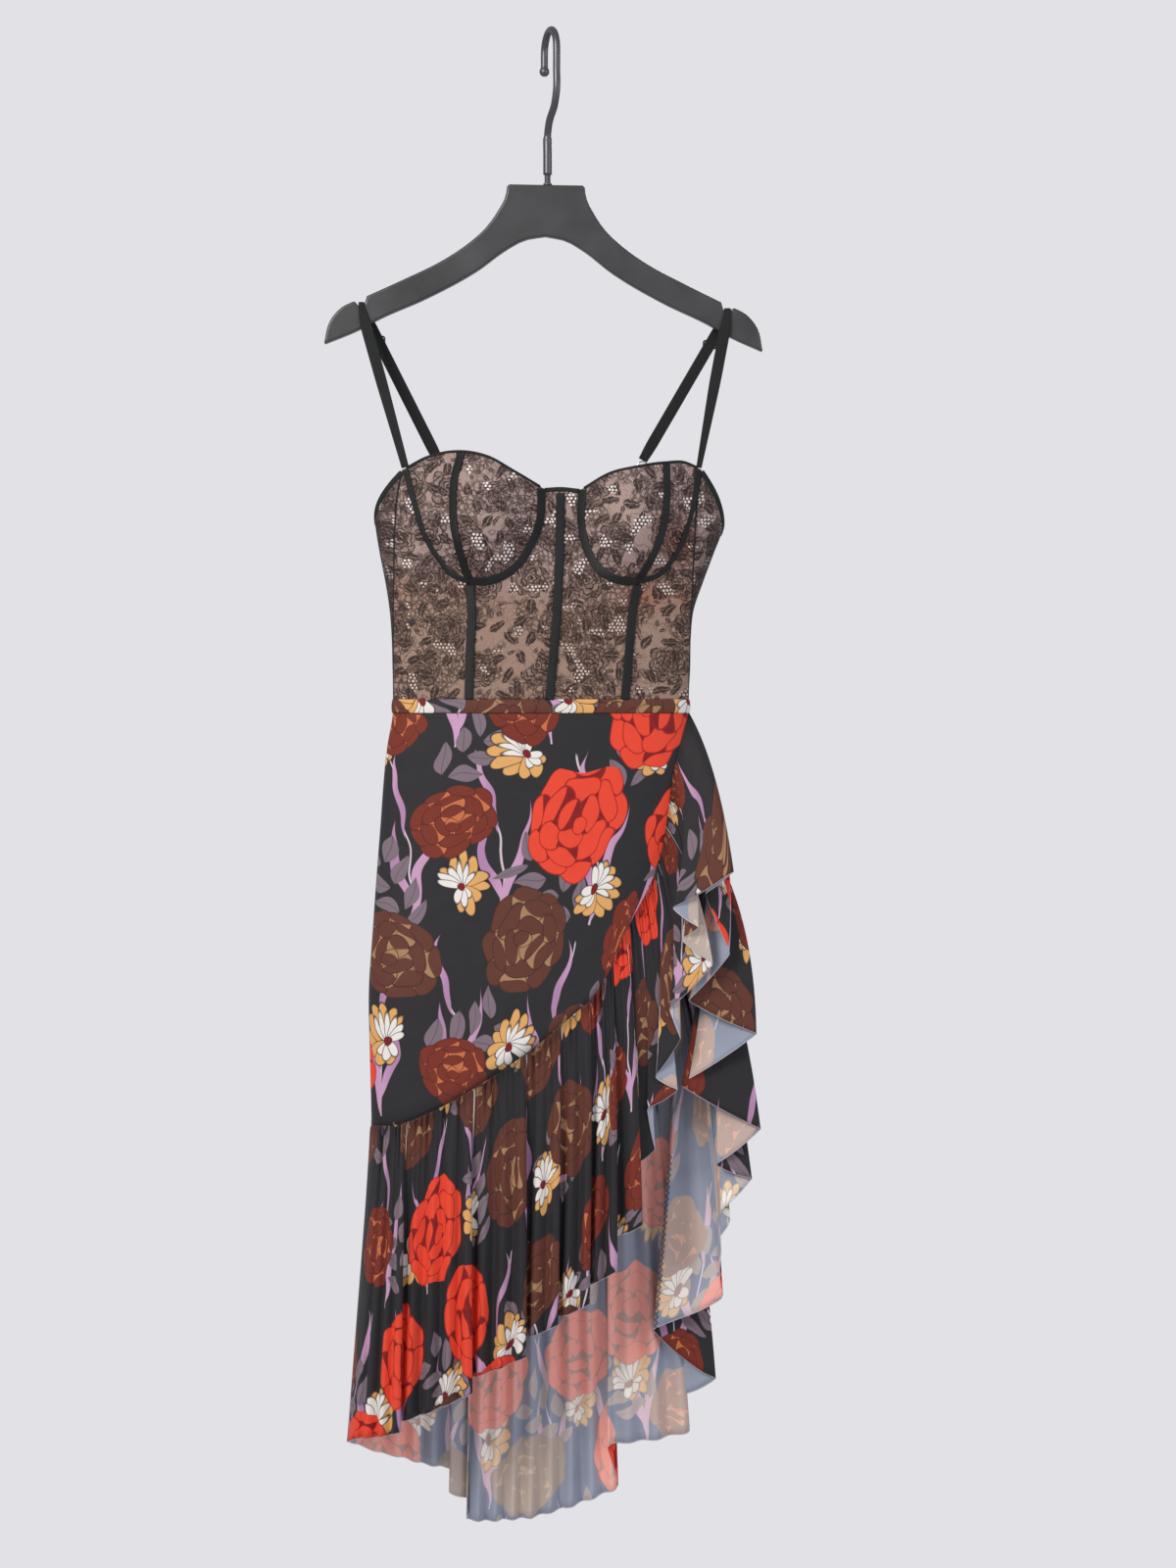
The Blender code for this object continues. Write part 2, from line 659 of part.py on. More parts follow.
def seam_path(points):
    """The seam as a fine curve with its running length."""
    curve = through(points, 400)
    length = np.concatenate([[0], np.cumsum(np.linalg.norm(np.diff(curve, axis=0), axis=1))])
    return curve, length


def closer_at_ends(edge):
    """Evenly spaced edge points, drawn towards both ends."""
    share = np.linspace(0, 1, len(edge))
    drawn = share - 0.7 * np.sin(2 * math.pi * share) / (2 * math.pi)
    return np.stack([np.interp(drawn, share, edge[:, axis]) for axis in range(2)], axis=1)


def skirt_panel(name, seam, corner, surface):
    """A skirt panel inside the waist, the left side and its slanted seam."""
    curve, length = seam_path(seam)
    middle, half, _, _ = tube_at(np.linspace(SKIRT_TOP, 1147, 13))
    left = np.stack([middle - half, np.linspace(SKIRT_TOP, 1147, 13)], axis=1)
    nearest = int(np.argmin(np.linalg.norm(curve - np.array(seam[corner]), axis=1)))
    if seam[0][1] > seam[-1][1]:
        right = through(curve[nearest:][::-1][::6], SKIRT_ROWS)
        bottom = through(curve[: nearest + 1][::6], SKIRT_COLUMNS)
    else:
        right = through(curve[: nearest + 1][::6], SKIRT_ROWS)
        bottom = through(curve[nearest:][::-1][::6], SKIRT_COLUMNS)
    left = through([tuple(point) for point in left[:-1]] + [tuple(bottom[0])], SKIRT_ROWS)
    right = through([tuple(point) for point in right[:-1]] + [tuple(bottom[-1])], SKIRT_ROWS)
    top = through([left[0], right[0]], SKIRT_COLUMNS)
    flat = patch(left, right, closer_at_ends(top), closer_at_ends(bottom))
    flat[0, :, 1] = SKIRT_TOP
    grid, normals = surface(flat)
    return wall(name, grid, SKIRT, "print", normals=normals)


def evened(table, step):
    """The fold table as a fine path: rows joined, flutes added, folds rounded."""
    table = np.array(table, float)
    parts = []
    for upper, lower in zip(table[:-1], table[1:]):
        share = np.linspace(0, 1, 60, endpoint=False)[:, None]
        row = upper[:5] + share * (lower[:5] - upper[:5])
        wave = lower[6] * np.sin(2 * math.pi * lower[5] * share)
        parts.append(np.hstack([row, wave]))
    parts.append(np.append(table[-1, :5], 0)[None])
    path = np.vstack(parts)
    length = np.concatenate([[0], np.cumsum(np.linalg.norm(np.diff(path[:, 1:4], axis=0), axis=1))])
    even = np.arange(0, length[-1], step)
    path = np.stack([np.interp(even, length, path[:, column]) for column in range(6)], axis=1)
    reach = int(4 * FOLD_ROUNDING / step)
    weights = np.exp(-0.5 * (np.arange(-reach, reach + 1) * step / FOLD_ROUNDING) ** 2)
    weights /= weights.sum()
    before = 2 * path[:1] - path[reach:0:-1]
    after = 2 * path[-1:] - path[-2:-reach - 2:-1]
    padded = np.vstack([before, path, after])
    return np.stack([np.convolve(padded[:, column], weights, "valid") for column in range(6)], axis=1)


def chosen_columns(hem, count):
    """Column numbers along a fine hem path: closer together where it turns."""
    ahead = unit(np.gradient(hem, axis=0))
    turning = np.concatenate([[0], np.arccos(np.clip((ahead[1:] * ahead[:-1]).sum(axis=1), -1, 1))])
    moved = np.concatenate([[0], np.linalg.norm(np.diff(hem, axis=0), axis=1)])
    effort = np.cumsum(moved / 14 + turning)
    return np.interp(np.linspace(0, effort[-1], count), effort, np.arange(len(hem)))


def ruffle_grid(table, seam, surface, columns):
    """Cloth from the seam to the hem: a drooping arc in each column, and flutes that grow."""
    fine = evened(table, 0.5)
    tangent = unit(np.gradient(fine[:, 1:3], axis=0))
    sideways = np.stack([-tangent[:, 1], tangent[:, 0]], axis=1)
    hem_plan = fine[:, 1:3] + sideways * fine[:, 5:6]
    hem = np.column_stack([hem_plan, fine[:, 3]])
    numbers = chosen_columns(hem, columns)
    index = np.arange(len(fine))
    picked = np.stack([np.interp(numbers, index, fine[:, column]) for column in range(6)], axis=1)
    sideways = np.stack([np.interp(numbers, index, sideways[:, axis]) for axis in range(2)], axis=1)
    curve, length = seam_path(seam)
    place = np.clip(picked[:, 0], 0, length[-1])
    start = np.stack([np.interp(place, length, curve[:, axis]) for axis in range(2)], axis=1)
    ahead = unit(np.gradient(curve, axis=0))
    ahead = np.stack([np.interp(place, length, ahead[:, axis]) for axis in range(2)], axis=1)
    # Both seams leave the skirt above them, so the ruffle starts one gap below.
    out = np.stack([-ahead[:, 1], ahead[:, 0]], axis=1)
    if seam[0][1] < seam[-1][1]:
        out = -out
    on_tube, first_normals = surface(start + out * RUFFLE_CLEAR)
    low = on_tube * [1000, 1000, -1000] + [HOOK_ACROSS, 0, HOOK_DOWN]
    high = picked[:, 1:4]
    puffed = low + (high - low) * [0.3, 0.7, 0.33] + picked[:, 4:5] * [1, 0, 0]
    part = RUFFLE_ROWS[:, None, None]
    grid = (1 - part) ** 2 * low + 2 * part * (1 - part) * puffed + part**2 * high
    grow = (RUFFLE_ROWS**0.75)[:, None]
    grid[..., 0] += grow * picked[:, 5] * sideways[:, 0]
    grid[..., 1] += grow * picked[:, 5] * sideways[:, 1]
    return space(grid[..., 0], grid[..., 1], grid[..., 2]), first_normals


def ruffle(name, table, seam, surface, columns):
    grid, first = ruffle_grid(table, seam, surface, columns)
    normals = grid_normals(grid)
    turned = (first * normals[0]).sum(axis=1, keepdims=True) < 0
    normals[0] = np.where(turned, -first, first)
    return wall(name, grid, RUFFLE, "print", normals=normals)


def tube(name, path, radii, kind, sides=8):
    """A round bar along a path (m) with a radius (mm) at each point and flat ends."""
    path = np.asarray(path, float)
    ahead = unit(np.gradient(path, axis=0))
    first = unit(np.cross(ahead[0], [0.31, 0.95, 0.1]))
    rings = []
    for point, way, radius in zip(path, ahead, np.broadcast_to(radii, len(path))):
        first = unit(first - way * np.dot(first, way))
        second = np.cross(way, first)
        angle = 2 * math.pi * np.arange(sides) / sides
        rings.append(point + (np.outer(np.cos(angle), first) + np.outer(np.sin(angle), second)) * radius / 1000)
    points = np.vstack(rings)
    faces = []
    for ring in range(len(path) - 1):
        for side in range(sides):
            after = (side + 1) % sides
            faces.append([ring * sides + side, ring * sides + after,
                          (ring + 1) * sides + after, (ring + 1) * sides + side])
    faces.append(list(range(sides))[::-1])
    faces.append([len(points) - sides + side for side in range(sides)])
    return solid(name, points, faces, kind)


def hanger_body():
    """The outline, both halves, pushed out to its thickness and softened at its edges."""
    half = np.array(HANGER_HALF, float)
    outline = np.vstack([half, half[-2::-1] * [-1, 1]])
    pivot = 250.0
    turned = np.stack(
        [
            outline[:, 0] * math.cos(HANGER_TILT) - (outline[:, 1] - pivot) * math.sin(HANGER_TILT),
            outline[:, 0] * math.sin(HANGER_TILT) + (outline[:, 1] - pivot) * math.cos(HANGER_TILT) + pivot,
        ],
        axis=1,
    )
    across, down = turned[:, 0] + HANGER_MIDDLE, turned[:, 1]
    front = space(across, -HANGER_THICK / 2, down)
    rear = space(across, HANGER_THICK / 2, down)
    count = len(front)
    faces = [list(range(count)), [count + corner for corner in range(count)][::-1]]
    for corner in range(count):
        after = (corner + 1) % count
        faces.append([after, corner, count + corner, count + after])
    thing = solid("hanger_body", np.vstack([front, rear]), faces, "hanger")
    bevel = thing.modifiers.new("soft edges", "BEVEL")
    bevel.width = HANGER_EDGE / 1000
    bevel.segments = 1
    bevel.limit_method = "ANGLE"
    bevel.angle_limit = math.radians(75)
    return thing


def hook_path():
    """The wire from the hanger's top, through its crank, up and over the rail to its ball."""
    ring = HOOK_INSIDE + WIRE_RADIUS
    centre = HOOK_DOWN + HOOK_INSIDE
    plan = np.array([math.sin(HOOK_TURN), -math.cos(HOOK_TURN)])
    foot = [(559 - HOOK_ACROSS, 0, 181), (559 - HOOK_ACROSS, 0, 142)]
    crank = [(561 - HOOK_ACROSS, -6, 128), (566 - HOOK_ACROSS, -15, 114)]
    rows = foot + crank
    for down in (100, 78):
        rows.append((*(plan * ring), down))
    for angle in np.radians(np.arange(0, 181, 15)):
        rows.append((*(plan * ring * math.cos(angle)), centre - ring * math.sin(angle)))
    rows.append((*(-plan * ring), centre + 9))
    rows.append((*(-plan * ring), centre + 15))
    rows.append((*(-plan * ring), centre + 18))
    rows.append((*(-plan * ring), centre + 22))
    return np.array([space(x + HOOK_ACROSS, y, down) for x, y, down in rows])


def hanger_hook():
    path = hook_path()
    radii = np.full(len(path), WIRE_RADIUS)
    radii[:2] = 4.6
    radii[-3:] = (5.2, 5.2, 2.8)
    tube("hanger_hook", path, radii, "hanger")
    screw = [space(559, 0, down) for down in (191.65, 188, 184.5, 181 + SEAM_GAP)]
    tube("hanger_ferrule", screw, (4.5, 3.0, 3.0, 3.0), "hanger")


def ribbon(name, path, widths, thick, kind, facing):
    """A flat strap along a path (m), with a width (mm) and a facing direction at each point."""
    ahead = unit(np.gradient(path, axis=0))
    facing = unit(facing - ahead * (facing * ahead).sum(axis=1, keepdims=True))
    sideways = np.cross(ahead, facing) * np.asarray(widths)[:, None] / 2000
    grid = np.stack([path - sideways, path + sideways], axis=1)
    normals = np.stack([facing, facing], axis=1)
    return wall(name, grid, thick, kind, normals=normals)


def strap(side):
    """Elastic from the cup up over the hanger's notch and down the back to its ring."""
    foot, notch, ring = STRAP_FOOT[side], NOTCH[side], STRAP_RING[side]
    reach = HANGER_THICK / 2 + SEAM_GAP + STRAP / 2 + 0.35
    foot_depth = float(front_depth(np.array(foot[0]), np.array(foot[1] + 5.0)))
    ring_depth = 23.0
    turn_top = notch[1] - SEAM_GAP - STRAP / 2 - 0.4
    rows = []
    for part in (0, 0.2, 0.45, 0.7, 0.9):
        rows.append((foot[0] + (notch[0] - foot[0]) * part, foot_depth + (-reach - foot_depth) * part**0.8,
                     foot[1] + (notch[1] + 6 - foot[1]) * part, (0, -1, 0)))
    for angle in np.radians([0, 25, 50, 75, 90, 105, 130, 155, 180]):
        corner = 3.6
        flat = max(0.0, reach - corner)
        depth = -math.cos(angle) * corner + (-flat if angle < 1.5 else flat if angle > 1.6 else 0)
        rows.append((notch[0], depth, turn_top + corner - corner * math.sin(angle),
                     (0, -math.cos(angle), math.sin(angle))))
    for part in (0.12, 0.35, 0.6, 0.85, 1.0):
        rows.append((notch[0] + (ring[0] - notch[0]) * part, reach + (ring_depth - reach) * part,
                     notch[1] + 4 + (ring[1] - RING_REACH - notch[1] - 4) * part, (0, 1, 0)))
    path = np.array([space(row[0], row[1], row[2]) for row in rows])
    facing = np.array([row[3] for row in rows], float)
    widths = np.full(len(rows), STRAP_WIDTH)
    widths[:5] = np.linspace(STRAP_FOOT_WIDTH[side], STRAP_WIDTH, 5)
    over = range(5, 14)
    widths[list(over)] = 5.0 if side == "left" else 6.5
    widths[-2:] = (11.0, RING_END_WIDTH)
    ribbon(f"strap_{side}", path, widths, STRAP, "elastic", facing)


def ring_and_tab(side):
    ring, foot = STRAP_RING[side], TAB_FOOT[side]
    ring_depth = 23.0
    angles = 2 * math.pi * np.arange(12) / 12
    circle = space(ring[0] + RING_RADIUS * np.cos(angles), ring_depth, ring[1] + RING_RADIUS * np.sin(angles))
    closed_tube(f"strap_ring_{side}", circle, RING_WIRE, "metal")
    end_depth = float(back_depth(np.array(float(foot[0])), np.array(foot[1])))
    rows = []
    for part in (0, 0.3, 0.65, 1.0):
        rows.append(space(
            ring[0] + (foot[0] - ring[0]) * part,
            ring_depth + (end_depth - ring_depth) * part,
            ring[1] + RING_REACH + (foot[1] - 2.2 - ring[1] - RING_REACH) * part,
        ))
    facing = np.tile([0.0, 1.0, 0.0], (len(rows), 1))
    ribbon(f"ring_tab_{side}", np.array(rows), (RING_END_WIDTH, 9.0, 9.0, 9.0), STRAP, "elastic", facing)


def closed_tube(name, loop, radius, kind, sides=5):
    """A round bar bent into a closed loop."""
    count = len(loop)
    ahead = unit(np.roll(loop, -1, axis=0) - np.roll(loop, 1, axis=0))
    middle = loop.mean(axis=0)
    outwards = unit(loop - middle)
    upright = np.cross(ahead, outwards)
    angle = 2 * math.pi * np.arange(sides) / sides
    points = (
        loop[:, None]
        + (np.cos(angle)[None, :, None] * outwards[:, None] + np.sin(angle)[None, :, None] * upright[:, None])
        * radius / 1000
    ).reshape(-1, 3)
    faces = []
    for ring in range(count):
        after = (ring + 1) % count
        for side in range(sides):
            beside = (side + 1) % sides
            faces.append([ring * sides + side, ring * sides + beside, after * sides + beside, after * sides + side])
    return solid(name, points, faces, kind)


def slider(side):
    """A small flat slider on the back of the strap, below the hanger."""
    notch, ring = NOTCH[side], STRAP_RING[side]
    part = 0.2
    across = notch[0] + (ring[0] - notch[0]) * part
    down = notch[1] + 4 + (ring[1] - notch[1] - 12) * part
    reach = HANGER_THICK / 2 + STRAP + 1
    depth = reach + (23.0 - reach) * part + STRAP / 2 + SEAM_GAP + 0.4
    wide, tall = 14.0, 9.0
    corners = np.array([(-0.5, -0.5), (0, -0.5), (0.5, -0.5), (-0.5, 0.5), (0, 0.5), (0.5, 0.5)])
    grid = space(across + corners[:, 0] * wide, depth, down + corners[:, 1] * tall).reshape(2, 3, 3)
    wall(f"strap_slider_{side}", grid, 1.2, "elastic")


def build():
    clear_scene()
    hanger_body()
    hanger_hook()
    for side in SIDES:
        strap(side)
        ring_and_tab(side)
        slider(side)
        cup_pieces(side)
        centre_front(side)
        side_front(side)
    bodice_back()
    channels()
    gore_binding()
    waist_band()
    skirt_panel("skirt_front", FRONT_SEAM, FRONT_CORNER, on_front)
    skirt_panel("skirt_back", BACK_SEAM, BACK_CORNER, on_back)
    ruffle("ruffle_front", FRONT_FOLDS, FRONT_SEAM, on_front, 106)
    ruffle("ruffle_side", SIDE_FOLDS, BACK_SEAM, on_back, 55)
    ruffle("ruffle_back", BACK_FOLDS, BACK_SEAM, on_back, 85)


build()
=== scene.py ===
import math

import bmesh
import bpy
import numpy as np
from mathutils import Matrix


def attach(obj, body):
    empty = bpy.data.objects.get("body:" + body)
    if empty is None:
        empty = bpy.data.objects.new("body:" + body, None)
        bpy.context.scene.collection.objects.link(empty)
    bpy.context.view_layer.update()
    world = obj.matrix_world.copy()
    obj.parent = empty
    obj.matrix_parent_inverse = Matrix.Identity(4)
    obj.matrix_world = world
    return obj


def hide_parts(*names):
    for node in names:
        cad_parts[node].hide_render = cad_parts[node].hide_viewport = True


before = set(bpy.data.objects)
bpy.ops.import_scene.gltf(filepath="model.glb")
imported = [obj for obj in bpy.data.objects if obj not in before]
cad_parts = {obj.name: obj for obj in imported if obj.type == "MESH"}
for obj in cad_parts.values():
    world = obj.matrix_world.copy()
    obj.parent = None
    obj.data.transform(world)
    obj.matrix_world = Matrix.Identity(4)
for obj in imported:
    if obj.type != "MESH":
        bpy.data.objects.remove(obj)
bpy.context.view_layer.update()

# drawing: across runs right and down runs down, in millimetres, from the corner of a front elevation;
# depth is how far behind the hanger's middle plane a point lies, so the dress's front is negative
bearing = {"across": 562.0, "down": 39.0}


def spot(across, depth, down):
    # drawing millimetres to metres from the point where the hook bears
    across, depth, down = np.broadcast_arrays(across, depth, down)
    return np.stack([across - bearing["across"], depth, bearing["down"] - down], axis=-1) / 1000


def toward(first, last, part):
    return first + (last - first) * part


def unit(vectors):
    return vectors / np.maximum(np.linalg.norm(vectors, axis=-1, keepdims=True), 1e-12)


def eased(where, knots, values):
    # cubic curve through the knots whose slope at each knot is that of its neighbours
    knots, values = np.array(knots, float), np.array(values, float)
    slopes = np.gradient(values, knots)
    place = np.clip(np.searchsorted(knots, where) - 1, 0, len(knots) - 2)
    span = knots[place + 1] - knots[place]
    part = np.clip((where - knots[place]) / span, 0, 1)
    return ((2 * part**3 - 3 * part**2 + 1) * values[place]
            + (part**3 - 2 * part**2 + part) * span * slopes[place]
            + (3 * part**2 - 2 * part**3) * values[place + 1]
            + (part**3 - part**2) * span * slopes[place + 1])


def runLength(points):
    # running length along a path of points
    return np.concatenate([[0], np.cumsum(np.linalg.norm(np.diff(points, axis=0), axis=1))])


def heading(path):
    # the unit way ahead at each point of a path
    return unit(np.gradient(path, axis=0))


def squared(vectors, way):
    # unit vectors square to the way, from what is left of the vectors without their part along it
    return unit(vectors - way * (vectors * way).sum(axis=1, keepdims=True))


def between(places, knots, table):
    # every column of the table at places between its knots
    return np.stack([np.interp(places, knots, table[:, column]) for column in range(table.shape[1])], axis=1)


def through(points, count):
    # smooth curve through the points, cut into even lengths
    points = np.array(points, float)
    steps = runLength(points)
    fine = np.linspace(0, steps[-1], max(400, 8 * count))
    dense = np.stack([eased(fine, steps, points[:, axis]) for axis in range(points.shape[1])], axis=1)
    return resampled(dense, count)


def resampled(path, count, start=0.0, end=0.0):
    # the path at even lengths, without its first and last stretch
    lengths = runLength(path)
    even = np.linspace(start, lengths[-1] - end, count)
    return between(even, lengths, path)


# the body's form: a flattened tube with two cups on its front
tube = {
    "power": 2.4,
    "gap": 0.3,
    # down, left, right, front, back
    "rows": [
        (460, 384.5, 737.0, 38, 28), (540, 384.5, 737.0, 43, 31), (565, 388.5, 727.5, 43, 32),
        (596, 394.5, 716.0, 42, 33), (623, 398.5, 707.0, 41, 34), (650, 400.5, 704.2, 40, 35),
        (681, 401.3, 703.6, 39, 36), (714, 402.0, 702.0, 38, 36), (727, 401.5, 702.0, 38, 37),
        (760, 396.0, 703.5, 39, 38), (850, 388.0, 704.0, 42, 40), (950, 380.5, 704.0, 45, 42),
        (1010, 376.5, 703.0, 46, 43), (1080, 377.5, 702.0, 46, 43), (1150, 379.0, 700.0, 46, 43),
        (1260, 379.0, 700.0, 46, 43),
    ],
}
cups = {
    "squareness": 1.7,
    "softness": 0.12,
    "left": dict(across=494, down=532, wide=60, below=62, above=118, proud=35),
    "right": dict(across=647, down=534, wide=56, below=60, above=118, proud=35),
}
waistDown, skirtTop = 714.0, 727.0


def tubeAt(down):
    # middle, half width, front and back depth of the tube at a height
    rows = np.array(tube["rows"], float)
    left, right, front, back = (eased(down, rows[:, 0], rows[:, column]) for column in (1, 2, 3, 4))
    return (left + right) / 2, (right - left) / 2, front, back


def cupRise(across, down):
    # how far the cups stand out: one minus the powered distances from each cup's middle, softened at zero
    total = np.zeros(np.broadcast(across, down).shape)
    for side in ("left", "right"):
        cup = cups[side]
        reach = np.where(down > cup["down"], cup["below"], cup["above"])
        sideways = np.abs((across - cup["across"]) / cup["wide"]) ** cups["squareness"]
        upwards = np.abs((down - cup["down"]) / reach) ** cups["squareness"]
        inside = np.clip((1 - sideways - upwards) / cups["softness"], -20, 20)
        total = total + cup["proud"] * cups["softness"] * np.logaddexp(0, inside)
    return total


def tubeShare(across, down):
    # the tube's depth at a place as a share of its whole depth there
    middle, half, _, _ = tubeAt(down)
    out = np.clip(np.abs((across - middle) / half), 0, 1)
    return (1 - out ** tube["power"]) ** (1 / tube["power"])


def frontDepth(across, down):
    return -tubeAt(down)[2] * tubeShare(across, down) - tube["gap"] / 2 - cupRise(across, down)


def backDepth(across, down):
    return tubeAt(down)[3] * tubeShare(across, down) + tube["gap"] / 2


def tubeValue(across, depth, down):
    # one on the tube, less inside it
    middle, half, front, back = tubeAt(down)
    proud = np.where(depth < 0, cupRise(across, down), 0)
    deep = (depth + proud) / np.where(depth < 0, front, back)
    return np.abs((across - middle) / half) ** tube["power"] + np.abs(deep) ** tube["power"]


def tubeNormals(across, depth, down):
    # the slope of the tube's value, which points out of it
    step = 0.25
    right = tubeValue(across + step, depth, down) - tubeValue(across - step, depth, down)
    rear = tubeValue(across, depth + step, down) - tubeValue(across, depth - step, down)
    up = tubeValue(across, depth, down - step) - tubeValue(across, depth, down + step)
    return unit(np.stack([right, rear, up], axis=-1))


def onTube(flat, depthAt):
    # points and normals of the tube at flat points of the drawing
    across, down = flat[..., 0], flat[..., 1]
    depth = depthAt(across, down)
    return spot(across, depth, down), tubeNormals(across, depth, down)


def onFront(flat):
    return onTube(flat, frontDepth)


def onBack(flat):
    return onTube(flat, backDepth)


def roundTube(turn, down):
    # the tube at a turn from its left edge over the back to its right edge
    middle, half, front, back = tubeAt(down)
    cosine, sine = np.cos(turn), np.sin(turn)
    power = 2 / tube["power"]
    across = middle - half * np.sign(cosine) * np.abs(cosine) ** power
    depth = np.where(sine > 0, back, front) * np.sign(sine) * np.abs(sine) ** power
    down = np.broadcast_to(down, across.shape)
    return spot(across, depth, down), tubeNormals(across, depth, down)


def patch(left, right, top, bottom):
    # Coons patch: the blend of both pairs of edges less the blend of the corners
    down = np.linspace(0, 1, len(left))[:, None, None]
    along = np.linspace(0, 1, len(top))[None, :, None]
    corners = ((1 - down) * (1 - along) * top[0] + (1 - down) * along * top[-1]
               + down * (1 - along) * bottom[0] + down * along * bottom[-1])
    sides = (1 - along) * left[:, None] + along * right[:, None]
    return sides + (1 - down) * top[None] + down * bottom[None] - corners


def linked(name, data):
    # an object of the data, in the scene
    made = bpy.data.objects.new(name, data)
    bpy.context.collection.objects.link(made)
    return made


def clothUv(grid):
    # metres along each row from its middle, and metres down the middle column
    across = np.cumsum(np.linalg.norm(np.diff(grid, axis=1, prepend=grid[:, :1]), axis=2), axis=1)
    across = across - across[:, grid.shape[1] // 2][:, None]
    down = np.cumsum(np.linalg.norm(np.diff(grid, axis=0, prepend=grid[:1]), axis=2), axis=0)
    down = np.broadcast_to(down[:, grid.shape[1] // 2][:, None], across.shape)
    return np.stack([across, -down], axis=-1)


def gridMesh(name, grid, uv, wanted=None, edge=None, looped=False):
    # rows by columns of points joined into quads that face the wanted way
    rows, columns = grid.shape[:2]
    wide = columns + 1 if looped else columns
    point = np.arange(rows * columns).reshape(rows, columns)
    if looped:
        point = np.concatenate([point, point[:, :1]], axis=1)
    corner = np.arange(rows * wide).reshape(rows, wide)
    quads, corners = (np.stack([n[:-1, :-1], n[:-1, 1:], n[1:, 1:], n[1:, :-1]], axis=-1).reshape(-1, 4)
                      for n in (point, corner))
    if wanted is not None:
        points = grid.reshape(-1, 3)[quads[: wide - 1]]
        facing = np.cross(points[:, 2] - points[:, 0], points[:, 3] - points[:, 1]).sum(axis=0)
        if np.dot(facing, np.mean(np.reshape(wanted, (-1, 3)), axis=0)) < 0:
            quads, corners = quads[:, ::-1], corners[:, ::-1]
    mesh = bpy.data.meshes.new(name)
    mesh.from_pydata(grid.reshape(-1, 3).tolist(), [], quads.tolist())
    for layerName, values in (("cloth", uv), ("edge", edge)):
        if values is not None:
            layer = mesh.uv_layers.new(name=layerName)
            picked = values.reshape(-1, 2)[corners.reshape(-1)]
            layer.data.foreach_set("uv", np.ascontiguousarray(picked).ravel())
    mesh.shade_smooth()
    return linked(name, mesh)


def finishPiece(piece, materials, node=None):
    for material in materials:
        piece.data.materials.append(material)
    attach(piece, "root")
    if node:
        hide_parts(node)


def clothPiece(name, grid, thick, materials, node, wanted, uv, edge, looped=False):
    # one sheet with two sides: its wall grows evenly both ways and its inner side takes the second material
    piece = gridMesh(name, grid, uv, wanted, edge, looped)
    finishPiece(piece, materials, node)
    shell = piece.modifiers.new("wall", "SOLIDIFY")
    shell.thickness = thick / 1000
    shell.offset = 0
    shell.use_even_offset = False
    shell.material_offset = len(materials) - 1


def carried(name, path, out, side, halfOut, halfSide, power=2.0, around=16, closed=False):
    # a superellipse section carried along a path: out and side are the section's two ways at each point
    angle = 2 * np.pi * np.arange(around) / around
    sectionOut = np.sign(np.cos(angle)) * np.abs(np.cos(angle)) ** (2 / power)
    sectionSide = np.sign(np.sin(angle)) * np.abs(np.sin(angle)) ** (2 / power)
    halfOut, halfSide = (np.broadcast_to(half, len(path))[:, None, None] / 1000 for half in (halfOut, halfSide))
    grid = (path[:, None] + out[:, None] * sectionOut[None, :, None] * halfOut
            + side[:, None] * sectionSide[None, :, None] * halfSide)
    if closed:
        grid = np.concatenate([grid, grid[:1]])
    along = np.broadcast_to(runLength(grid[:, 0])[:, None], (len(grid), around + 1))
    ring = np.concatenate([grid[0], grid[0][:1]])
    girth = np.broadcast_to(runLength(ring)[None], along.shape)
    piece = gridMesh(name, grid, np.stack([girth, along], axis=-1), looped=True)
    mesh = piece.data
    facedOut(mesh, seamMerged if closed else endsFilled)
    mesh.shade_smooth()
    return piece


def seamMerged(shape):
    bmesh.ops.remove_doubles(shape, verts=shape.verts, dist=1e-6)


def endsFilled(shape):
    bmesh.ops.holes_fill(shape, edges=[edge for edge in shape.edges if edge.is_boundary], sides=0)


def facedOut(mesh, mend=None):
    # the mesh mended, with its faces pointing outwards
    shape = bmesh.new()
    shape.from_mesh(mesh)
    if mend:
        mend(shape)
    bmesh.ops.recalc_face_normals(shape, faces=shape.faces)
    shape.to_mesh(mesh)
    shape.free()


print("stage: drawing and form ready")


# shader arithmetic
def mathNode(operation, swapped=False):
    # a method that adds one Math node
    def method(self, *others):
        values = (*others, self) if swapped else (self, *others)
        return self.combined(operation, *values)
    return method


